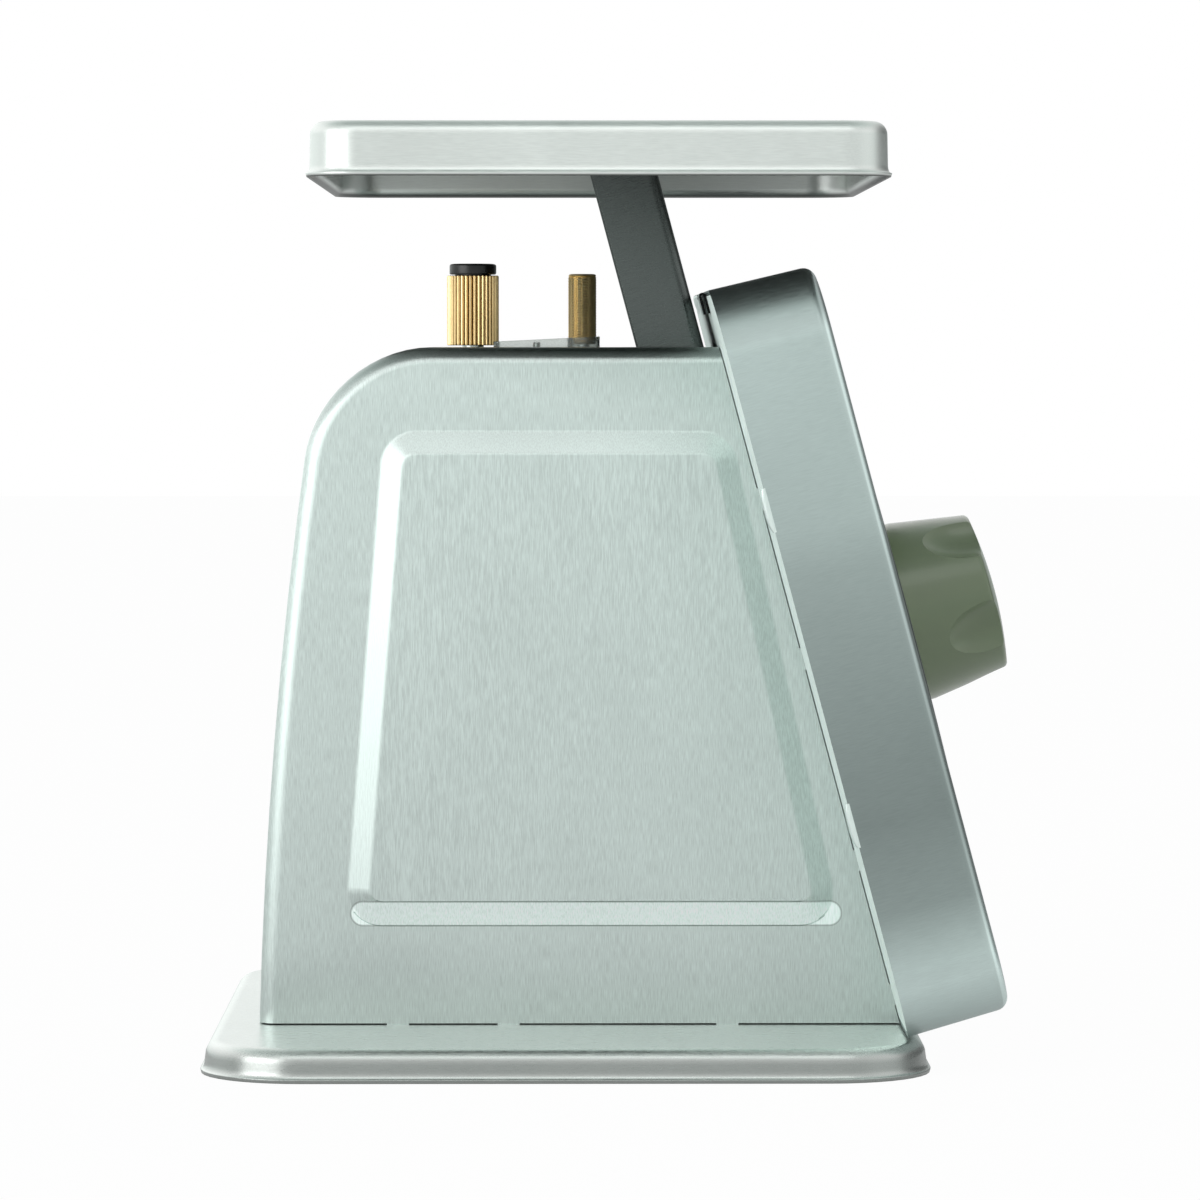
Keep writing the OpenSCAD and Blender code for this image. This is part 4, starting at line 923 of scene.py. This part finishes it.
# %% [markdown]
# Eight tabs of the housing's rim are folded over the back plate to hold it. Seven are short strips
# that turn round the rim's edge and lie on the plate, fullest in the middle of their length. Each
# starts as the line that its sheet follows, which is drawn out sideways in steps and then thinned
# towards both ends.

# %% Folded tabs
FOLD_LENGTH = 12.0
FOLD_STEPS = 8
FOLD_LINE = ((0.0, 0.6), (0.02, -0.5), (-0.3, -1.05), (-0.9, -1.3), (-2.6, -1.3), (-6.0, -0.95))
FOLD_SIDES = ((0, (43, -43)), (180, (43, -43)), (270, (40, -40)), (90, (40,)))
FOLD_THINNING = 0.75


def folded_tab(bm, at, turn):
    """One tab on the rim of the side that turn brings round; at is its place along that side."""
    verts = [bm.verts.new((at - FOLD_LENGTH / 2, HOUSING_HALF + y, z)) for y, z in FOLD_LINE]
    edges = [bm.edges.new(pair) for pair in zip(verts, verts[1:])]
    new_verts = list(verts)
    for i in range(FOLD_STEPS):
        strip = bmesh.ops.extrude_edge_only(bm, edges=edges)
        verts = grown(strip, bmesh.types.BMVert)
        edges = [e for e in grown(strip, bmesh.types.BMEdge) if abs(e.verts[0].co.x - e.verts[1].co.x) < TINY]
        bmesh.ops.translate(bm, vec=(FOLD_LENGTH / FOLD_STEPS, 0, 0), verts=verts)
        new_verts += verts
    for vert in new_verts:
        t = (vert.co.x - at) / (FOLD_LENGTH / 2)
        full = 1 - FOLD_THINNING * t * t * t * t
        if vert.co.z < 0:
            vert.co.z = min(vert.co.z * full, -0.05)
            vert.co.y = HOUSING_HALF + (vert.co.y - HOUSING_HALF) * (0.6 + 0.4 * full)
    spin = Matrix.Rotation(math.radians(turn), 4, "Z")
    bmesh.ops.transform(bm, matrix=shaft(0, DROP) @ spin, verts=new_verts)


fold_bm = bmesh.new()
for turn, places in FOLD_SIDES:
    for at in places:
        folded_tab(fold_bm, at, turn)
make_piece("folded_tabs", fold_bm, "tab_painted_light", "root", smooth=60)

# %% [markdown]
# The eighth tab, on top, is hemmed: its sheet is folded back on itself, and seen from the side it
# makes a narrow hook with cut ends painted dark, as shade. The hook is one face, drawn from an outer
# and an inner half circle and extruded along the rim. Its ends take a second, nearly black finish,
# which is painted shade.

# %% Hemmed tab
HEM_AT = -40
HEM_BACK, HEM_FRONT = -1.8, 0.15
HEM_REACH = 6.0
HEM_SHEET = 0.65


def hemmed_tab(bm, at):
    """A tab on the top rim, folded over the plate and hemmed back on itself; its cut ends are painted dark,
    as shade.
    """
    outer = (HEM_FRONT - HEM_BACK) / 2
    middle = (HEM_FRONT + HEM_BACK) / 2
    low = HOUSING_HALF - HEM_REACH
    half_turn = [math.radians(30 * i) for i in range(7)]
    outline = []
    for radius, angles in ((outer, half_turn), (outer - HEM_SHEET, half_turn[::-1])):
        bend = [
            (HOUSING_HALF - outer + radius * math.sin(a), middle + radius * math.cos(a)) for a in angles
        ]
        outline += [(low, bend[0][1])] + bend + [(low, bend[-1][1])]
    end = bm.faces.new([bm.verts.new((-u, at - FOLD_LENGTH / 2, n)) for u, n in outline])
    block = bmesh.ops.extrude_face_region(bm, geom=[end], use_keep_orig=True)
    bmesh.ops.translate(bm, vec=(0, FOLD_LENGTH, 0), verts=grown(block, bmesh.types.BMVert))
    for face in [end] + grown(block, bmesh.types.BMFace):
        face.normal_update()
        face.material_index = 1 if abs(face.normal.y) > 0.9 else 0


hem_bm = bmesh.new()
hemmed_tab(hem_bm, HEM_AT)
place(hem_bm, shaft(0, DROP))
hem = make_piece("hemmed_tab", hem_bm, "tab_painted_light", "root", smooth=40)
# Painted shade: the nearly black finish of the cut ends.
hem.data.materials.append(finishes["cut_painted_shade"])

# %% [markdown]
# The post is a channel bent from 1.5 mm sheet, which leans back like the dial. Three faces of the
# channel are extruded from a three-sided line, its two bends are bevelled, and a level cut, which
# is slanted to the post, ends it under the platform's arms.

# %% Platform post
POST_T = 1.5
POST_BEND = 3.0
POST_FOOT = -58.6
POST_RUN = 230
WEB_N = -3.4
FLANGE_N = -20.9
POST_HALF = 25.0
SPIDER_Z = 248.0


def post():
    bm = bmesh.new()
    line = [(FLANGE_N, -POST_HALF), (WEB_N, -POST_HALF), (WEB_N, POST_HALF), (FLANGE_N, POST_HALF)]
    verts = [bm.verts.new(dial_point(n, y, POST_FOOT)) for n, y in line]
    edges = [bm.edges.new(pair) for pair in zip(verts, verts[1:])]
    channel = bmesh.ops.extrude_edge_only(bm, edges=edges)
    bmesh.ops.translate(bm, vec=UP * POST_RUN, verts=grown(channel, bmesh.types.BMVert))
    bmesh.ops.recalc_face_normals(bm, faces=bm.faces)
    web = max(bm.faces, key=lambda f: f.calc_area())
    if web.normal.dot(ALONG) < 0:
        bmesh.ops.reverse_faces(bm, faces=bm.faces)
    bends = [e for e in bm.edges if len(e.link_faces) == 2]
    bevel(bm, bends, POST_BEND, 5)
    geom = list(bm.verts) + list(bm.edges) + list(bm.faces)
    bmesh.ops.bisect_plane(
        bm, geom=geom, plane_co=(0, 0, SPIDER_Z), plane_no=(0, 0, 1), clear_outer=True, dist=TINY / 10
    )
    return bm


post_bm = post()
print("post before its window, faces", len(post_bm.faces))

# %% [markdown]
# The pointer's shaft and gear pass through a window in the post's web. The web is split along the
# window's four edges, and the piece between them is deleted.

# %% Window in the post
WINDOW_HALF = 14
WINDOW_LOW, WINDOW_HIGH = -12, 26


def cut_window(bm):
    across = Vector((0, 1, 0))
    edges = (
        (-across * WINDOW_HALF, across), (across * WINDOW_HALF, across),
        (dial_point(0, 0, WINDOW_LOW), UP), (dial_point(0, 0, WINDOW_HIGH), UP),
    )
    hole = [
        f for f, middle in split_facing(bm, ALONG, edges)
        if abs(middle.y) < WINDOW_HALF and WINDOW_LOW < (middle - DIAL).dot(UP) < WINDOW_HIGH
    ]
    bmesh.ops.delete(bm, geom=hole, context="FACES")


cut_window(post_bm)
make_piece(
    "post_channel", post_bm, "post_steel", "carriage", ["platform_post"], smooth=25, wall=POST_T
)

# %% [markdown]
# The tare knob is a moulded cap: a tapered wall, a domed face, and five shallow grips for the
# fingers. Its profile is a line of points, which is spun round the pointer shaft.

# %% Tare knob
KNOB_R = 25.4
KNOB_FACE_R = 22.3
KNOB_N = 27.4
KNOB_RIM_N = 56.3
KNOB_EDGE = 1.6
CROWN = 2.0


def spun(profile, steps=96):
    """Skin of a profile of radius and height, turned round Z."""
    bm = bmesh.new()
    verts = [bm.verts.new((r, 0, z)) for r, z in profile]
    edges = [bm.edges.new(pair) for pair in zip(verts, verts[1:])]
    bmesh.ops.spin(
        bm, geom=verts + edges, cent=(0, 0, 0), axis=(0, 0, 1), dvec=(0, 0, 0), angle=math.tau, steps=steps,
        use_merge=True, use_duplicate=False,
    )
    bmesh.ops.remove_doubles(bm, verts=bm.verts, dist=TINY / 5)
    bmesh.ops.recalc_face_normals(bm, faces=bm.faces)
    return bm


def knob_profile():
    height = KNOB_RIM_N - KNOB_N
    angles = [math.radians(14 * i) for i in range(6)]
    rim = [
        (KNOB_FACE_R - KNOB_EDGE + KNOB_EDGE * math.cos(a), height - KNOB_EDGE + KNOB_EDGE * math.sin(a))
        for a in angles
    ]
    top = rim[-1]
    dome = [(top[0] * (1 - i / 8), top[1] + CROWN * (1 - (1 - i / 8) ** 2)) for i in range(1, 9)]
    wall = [(0, 0), (KNOB_R - 1.0, 0), (KNOB_R - 0.3, 0.3), (KNOB_R, 1.0), (KNOB_R, 7.0)]
    return wall + rim + dome


knob_bm = spun(knob_profile(), 160)
print("knob before its grips, faces", len(knob_bm.faces))

# %% [markdown]
# The grips are cut by long balls, which leave hollows with round ends. A Boolean modifier does
# that on a copy, and the cut mesh is taken back. The sharp rims of the hollows are then softened.

# %% Finger grips
GRIPS = 5
GRIP_START = -67
GRIP_R = 12.0
GRIP_HALF = 7.4
GRIP_LENGTH = 17.3


def grip_cutters():
    """Long balls round the knob's face."""
    bm = bmesh.new()
    near = math.sqrt(GRIP_R**2 - GRIP_HALF**2) + math.sqrt(KNOB_FACE_R**2 - GRIP_HALF**2)
    ball = Matrix.Diagonal((GRIP_R, GRIP_R, GRIP_LENGTH, 1))
    for k in range(GRIPS):
        spin = Matrix.Rotation(math.radians(GRIP_START + 360 / GRIPS * k), 4, "Z")
        at = spin @ Matrix.Translation((near, 0, KNOB_RIM_N - KNOB_N)) @ ball
        bmesh.ops.create_uvsphere(bm, u_segments=72, v_segments=48, radius=1, matrix=at)
    return bm


def cut_with(target, cutter_bm):
    """Cuts one bmesh with another by an exact Boolean modifier, and returns the cut bmesh."""
    objects = []
    for label, source in (("cut_body", target), ("cut_tool", cutter_bm)):
        mesh = bpy.data.meshes.new(label)
        source.to_mesh(mesh)
        source.free()
        objects.append(linked(label, mesh))
    body, tool = objects
    cut = body.modifiers.new("Cut", "BOOLEAN")
    cut.operation = "DIFFERENCE"
    cut.solver = "EXACT"
    cut.object = tool
    bpy.context.view_layer.update()
    bm = bmesh.new()
    bm.from_object(body, bpy.context.evaluated_depsgraph_get())
    for made in objects:
        mesh = made.data
        bpy.data.objects.remove(made)
        bpy.data.meshes.remove(mesh)
    return bm


knob_bm = cut_with(knob_bm, grip_cutters())
place(knob_bm, shaft(KNOB_N))
make_piece(
    "tare_grip", knob_bm, "knob_plastic", "tare_dial", ["tare_knob"], smooth=60, crease=0.9
)

# %% [markdown]
# The larger brass adjuster opens the damper. Its sleeve is fluted for grip: every eighth point of a
# circle is drawn in, with its neighbours a little less, and the disc is extruded. The bottoms of
# the grooves take a second, dark brass finish on those faces: painted shade of the grooves.

# %% Fluted sleeve
DAMPER_X = -25.8
SLEEVE_R = 7.25
SLEEVE_LEN = 19.5
SLEEVE_Z = HOOD_TOP + 0.5
FLUTES = 36
FLUTE_DEPTH = 0.55
FLUTE_REACH = 0.3
GROOVE_SHADE_REACH = 0.12
SLEEVE_EDGE = 0.3


def from_groove(co):
    """How far a point lies from the nearest groove, in flutes, from 0 to a half."""
    share = (math.atan2(co.y, co.x) * FLUTES / math.tau) % 1
    return min(share, 1 - share)


def fluted_sleeve():
    bm = bmesh.new()
    bmesh.ops.create_circle(bm, cap_ends=True, segments=8 * FLUTES, radius=SLEEVE_R)
    for vert in bm.verts:
        vert.co *= 1 - FLUTE_DEPTH * max(0.0, 1 - from_groove(vert.co) / FLUTE_REACH) / SLEEVE_R
    skin = bmesh.ops.extrude_face_region(bm, geom=list(bm.faces), use_keep_orig=True)
    bmesh.ops.translate(bm, vec=(0, 0, SLEEVE_LEN), verts=grown(skin, bmesh.types.BMVert))
    ends = [e for e in bm.edges if abs(e.verts[0].co.z - e.verts[1].co.z) < TINY]
    bevel(bm, ends, SLEEVE_EDGE, 2)
    # Painted shade: faces at the groove bottoms take the dark brass.
    for face in bm.faces:
        deep = abs(face.normal.z) < 0.5 and from_groove(face.calc_center_median()) < GROOVE_SHADE_REACH
        face.material_index = 1 if deep else 0
    place(bm, Matrix.Translation((DAMPER_X, 0, SLEEVE_Z)))
    return bm


sleeve = make_piece(
    "fluted_sleeve", fluted_sleeve(), "sleeve_brass", "damper_knob", ["damper_sleeve"], smooth=28
)
sleeve.data.materials.append(finishes["groove_shade_brass"])

# %% [markdown]
# A black plastic cap closes the sleeve. It is spun like the tare knob, from a profile with a thin
# shadow groove under its rim.

# %% Cap of the sleeve
CAP_R = SLEEVE_R - 0.7
CAP_PROFILE = (
    (0, -0.2), (CAP_R - 1.5, -0.2), (CAP_R - 1.5, 0.3), (CAP_R - 0.4, 0.3), (CAP_R - 0.12, 0.4), (CAP_R, 0.7),
    (CAP_R, 2.7), (CAP_R - 0.15, 3.0), (CAP_R - 0.5, 3.2), (CAP_R - 1.2, 3.3), (0, 3.3),
)
cap_bm = spun(CAP_PROFILE, 64)
place(cap_bm, Matrix.Translation((DAMPER_X, 0, SLEEVE_Z + SLEEVE_LEN)))
make_piece("sleeve_cap", cap_bm, "cap_plastic", "damper_knob", ["damper_cap"], smooth=40)

# %% [markdown]
# The smaller brass adjuster sets the zero, and has a diamond knurl. A ring of points is extruded
# row by row, and its points stand high and low in turn, like the squares of a chess board. Each
# four-sided face is then split along its shorter diagonal, which runs along the grooves.

# %% Knurled zero knob
ZERO_X = 4.8
ZERO_R = 4.0
ZERO_LEN = 19.7
ZERO_Z = HOOD_TOP + 0.8
DIAMONDS = 27
KNURL_ROWS = 46
KNURL_DEPTH = 0.19
KNURL_MARGIN = 1.0
END_STEPS = ((0.35, 0.1), (0.1, 0.25), (0.3, 0.45), (0.9, 0.15))


def close_end(bm, rim, direction):
    """Draws one end of the knob in over a narrow rounded band, and closes it."""
    edge_loop = [e for e in bm.edges if e.is_boundary and all(v in rim for v in e.verts)]
    for inset, rise in END_STEPS:
        strip = bmesh.ops.extrude_edge_only(bm, edges=edge_loop)
        for vert in grown(strip, bmesh.types.BMVert):
            flat = Vector((vert.co.x, vert.co.y, 0)).normalized() * (ZERO_R - inset)
            vert.co = Vector((flat.x, flat.y, vert.co.z + direction * rise))
        edge_loop = [e for e in grown(strip, bmesh.types.BMEdge) if e.is_boundary]
    bmesh.ops.holes_fill(bm, edges=edge_loop, sides=0)


def knurled_knob():
    bm = bmesh.new()
    pitch = (ZERO_LEN - 2 * KNURL_MARGIN) / KNURL_ROWS
    ring = bmesh.ops.create_circle(bm, segments=2 * DIAMONDS, radius=ZERO_R)
    edges = list({e for v in ring["verts"] for e in v.link_edges})
    rows = [ring["verts"]]
    for i in range(KNURL_ROWS):
        strip = bmesh.ops.extrude_edge_only(bm, edges=edges)
        verts = grown(strip, bmesh.types.BMVert)
        bmesh.ops.translate(bm, vec=(0, 0, pitch), verts=verts)
        edges = [e for e in grown(strip, bmesh.types.BMEdge) if abs(e.verts[0].co.z - e.verts[1].co.z) < TINY]
        rows.append(verts)
    for j, row in enumerate(rows):
        for vert in row:
            i = round(math.atan2(vert.co.y, vert.co.x) / math.tau * 2 * DIAMONDS)
            if (i + j) % 2:
                vert.co.xy *= 1 - KNURL_DEPTH / ZERO_R
    bmesh.ops.triangulate(bm, faces=bm.faces, quad_method="SHORT_EDGE")
    close_end(bm, rows[-1], 1)
    close_end(bm, rows[0], -1)
    place(bm, Matrix.Translation((ZERO_X, 0, ZERO_Z + KNURL_MARGIN)))
    return bm


make_piece("knurled_knob", knurled_knob(), "knob_brass", "zero_knob", ["zero_knob"], smooth=12)

# %% [markdown]
# The dial turns with the tare knob, and its face carries a plain number at every second unit. The
# numbers are text, which is made into mesh before it is placed.

# %% Dial numbers
NUMBER_SIZE = 13
MARK_T = 0.08


def as_mesh(curve):
    """The mesh of a text or a curve, by way of an object that is removed again."""
    shown = linked(curve.name, curve)
    bpy.context.view_layer.update()
    mesh = bpy.data.meshes.new_from_object(shown.evaluated_get(bpy.context.evaluated_depsgraph_get()))
    bpy.data.objects.remove(shown)
    bpy.data.curves.remove(curve)
    return mesh


def number_mesh(unit):
    """A number as a mesh, flat and centred on the origin, reading along X."""
    words = bpy.data.curves.new("number", "FONT")
    words.body = str(unit)
    words.size = NUMBER_SIZE
    words.align_x, words.align_y = "CENTER", "CENTER"
    words.extrude = MARK_T / 2
    return as_mesh(words)


print("numbers are", NUMBER_SIZE, "mm high and", MARK_T, "mm thick")

# %% [markdown]
# The graduations are thin boxes: a long line for each unit, shorter ones for the halves and
# quarters. Lines and numbers lie just above the face.

# %% Dial marks
UNITS = 32
SWEEP = 332.0
FACE_N = 17.8
MARK_R = 88
QUARTER_LINES = ((9, 0.9), (4, 0.45), (6, 0.6), (4, 0.45))
NUMBER_R = 68


def dial_marks():
    bm = bmesh.new()
    for i in range(4 * UNITS + 1):
        angle = math.radians(SWEEP * i / (4 * UNITS))
        length, width = QUARTER_LINES[i % 4]
        spin = Matrix.Rotation(-angle, 4, "Z")
        add_box(bm, (-MARK_R, -width / 2, 0), (-MARK_R + length, width / 2, MARK_T), spin)
    for unit in range(0, UNITS, 2):
        mesh = number_mesh(unit)
        angle = math.radians(SWEEP * unit / UNITS)
        at = Vector((-NUMBER_R * math.cos(angle), NUMBER_R * math.sin(angle), MARK_T / 2))
        mesh.transform(Matrix.Translation(at) @ Matrix.Rotation(math.radians(90), 4, "Z"))
        bm.from_mesh(mesh)
        bpy.data.meshes.remove(mesh)
    place(bm, shaft(FACE_N + 0.01))
    return bm


make_piece("dial_marks", dial_marks(), "mark_paint", "tare_dial", smooth=20)

# %% [markdown]
# The load spring hangs inside the hood between its hanger and the carriage. It is one wire in a
# helix: a curve through short steps, with a round bevel for the wire, made a mesh.

# %% Load spring
WIRE_R = 0.0006
CURL_R = 0.006
CURLS = 16
CURL_STEPS = 20


def load_spring():
    low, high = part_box("load_spring")
    curve = bpy.data.curves.new("spring_wire", "CURVE")
    curve.dimensions = "3D"
    curve.bevel_depth = WIRE_R
    curve.bevel_resolution = 3
    count = CURLS * CURL_STEPS + 1
    wire = curve.splines.new("POLY")
    wire.points.add(count - 1)
    bottom, top = low.z + WIRE_R, high.z - WIRE_R
    axis_x = (ZERO_X - CENTRE) * MM
    for i, point in enumerate(wire.points):
        angle = math.tau * i / CURL_STEPS
        z = bottom + (top - bottom) * i / (count - 1)
        point.co = (axis_x + CURL_R * math.cos(angle), CURL_R * math.sin(angle), z, 1)
    curve.use_fill_caps = True
    mesh = as_mesh(curve)
    made = linked("wound_spring", mesh)
    mesh.materials.clear()
    mesh.materials.append(finishes["plated_steel"])
    for face in mesh.polygons:
        face.use_smooth = True
    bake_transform(made)
    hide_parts("load_spring")
    print("spring turns", CURLS, "length mm", round((top - bottom) * 1000, 1))


load_spring()

# %% [markdown]
# The floor is a wide pale sheet. For the camera it glows a little, so that it reaches the white of
# the photograph and still keeps the object's soft shadow. Reflections see part of that glow too.

# %% Floor
FLOOR_SIZE = 6
FLOOR_COLOUR = (0.85, 0.86, 0.86, 1)
FLOOR_SEEN = 0.97
FLOOR_MIRRORED = 0.42


def floor_finish():
    material = bpy.data.materials.new("floor_white")
    material.use_nodes = True
    material.node_tree.nodes.clear()
    node = node_maker(material.node_tree)
    path = node("LightPath").outputs
    seen = maths(node, "MULTIPLY", path["Is Camera Ray"], FLOOR_SEEN)
    share = maths(node, "MULTIPLY_ADD", path["Is Glossy Ray"], FLOOR_MIRRORED, seen)
    matt = node("BsdfDiffuse", {"Color": FLOOR_COLOUR}).outputs[0]
    glow = node("Emission", {"Strength": 1.0}).outputs[0]
    node("OutputMaterial", {0: node("MixShader", {0: share, 1: matt, 2: glow}).outputs[0]})
    return material


floor_bm = bmesh.new()
bmesh.ops.create_grid(floor_bm, x_segments=1, y_segments=1, size=FLOOR_SIZE)
floor_mesh = bpy.data.meshes.new("floor")
floor_bm.to_mesh(floor_mesh)
floor_bm.free()
floor_mesh.materials.append(floor_finish())
floor = linked("floor", floor_mesh)
print("floor from", tuple(floor_mesh.vertices[0].co), "to", tuple(floor_mesh.vertices[-1].co), "m")

# %% [markdown]
# Brushed steel shows the room more than its own colour, so the room is drawn with care. To the
# camera the world is plain white, and to matt surfaces it is pale grey. In reflections it is a
# studio: a ramp by height, pale at eye level, brightest above it and darker overhead, then three
# soft bright lobes, and one dark flag behind on the right, which darkens the edges that turn there.

# %% Studio world
WORLD_WHITE = (1, 1, 1, 1)
WORLD_GREY = (0.55, 0.56, 0.56, 1)
SKY_COLOUR = (0.9, 1.0, 0.97)
SKY_TONES = ((0.5, 0.92), (0.62, 1.12), (0.80, 1.12), (0.9, 0.8), (1.0, 0.42))
SOFT_LOBES = (
    ((0.95, -0.3, 0.1), 10, 32, 0.2),
    ((-0.7, 0.7, 0.15), 15, 50, 0.4),
    ((0.1, 1.0, 0.25), 10, 45, 0.1),
)
FLAG_TOWARDS = (0.75, 0.66, 0.0)
FLAG_INNER, FLAG_OUTER = 18, 45
FLAG_TONE = 0.2

world = bpy.data.worlds.new("studio")
bpy.context.scene.world = world
world.use_nodes = True
room = node_maker(world.node_tree)
heading = room("TexCoord").outputs["Generated"]


def towards(direction, inner, outer):
    """1 within the inner angle of a direction, falling softly to 0 at the outer angle, in degrees."""
    nearness = reach_along(room, heading, Vector(direction).normalized())
    far, near = math.cos(math.radians(outer)), math.cos(math.radians(inner))
    edges = {"Value": nearness, "From Min": far, "From Max": near}
    return room("MapRange", edges, interpolation_type="SMOOTHSTEP").outputs["Result"]


height = room("SeparateXYZ", {0: heading}).outputs["Z"]
sky_stops = [(at, shade(SKY_COLOUR, grey)) for at, grey in SKY_TONES]
sky = ramped(room, maths(room, "MULTIPLY_ADD", height, 0.5, 0.5), sky_stops)
lobes = 0.0
for direction, inner, outer, extra in SOFT_LOBES:
    lobes = maths(room, "ADD", maths(room, "MULTIPLY", towards(direction, inner, outer), extra), lobes)
flag = spread(room, towards(FLAG_TOWARDS, FLAG_INNER, FLAG_OUTER), 1.0, FLAG_TONE, 0.0, 1.0)
white = room("CombineXYZ", {0: lobes, 1: lobes, 2: lobes}).outputs[0]
studio = times_colour(room, room("VectorMath", {0: sky, 1: white}, operation="ADD").outputs[0], flag)
path = room("LightPath").outputs
plain = maths(room, "MAXIMUM", path["Is Camera Ray"], path["Is Transmission Ray"])
seen = mixed(room, plain, mixed(room, path["Is Glossy Ray"], WORLD_GREY, studio), WORLD_WHITE)
world.node_tree.links.new(seen, world.node_tree.nodes["Background"].inputs["Color"])
print("studio nodes", len(world.node_tree.nodes))

# %% [markdown]
# Two soft lamps shape the object: a broad one on the left, which whitens the rounded edges that face
# it, and a wide one above the camera, which lays the soft shadow on the floor.

# %% Lamps
LAMP_AIM = (0, 0, 0.12)


def soft_lamp(name, at, width, height, power):
    lamp = bpy.data.lights.new(name, "AREA")
    lamp.shape = "RECTANGLE"
    lamp.size, lamp.size_y = width, height
    lamp.energy = power
    made = linked(name, lamp)
    made.location = at
    made.rotation_euler = (Vector(LAMP_AIM) - Vector(at)).to_track_quat("-Z", "Y").to_euler()
    print(name, power, "W,", round((Vector(LAMP_AIM) - Vector(at)).length, 2), "m away")


soft_lamp("lamp_left", at=(-1.27, -1.05, 0.45), width=1.3, height=1.0, power=11)
soft_lamp("lamp_above", at=(0, -1.1, 1.3), width=1.6, height=0.5, power=2.6)
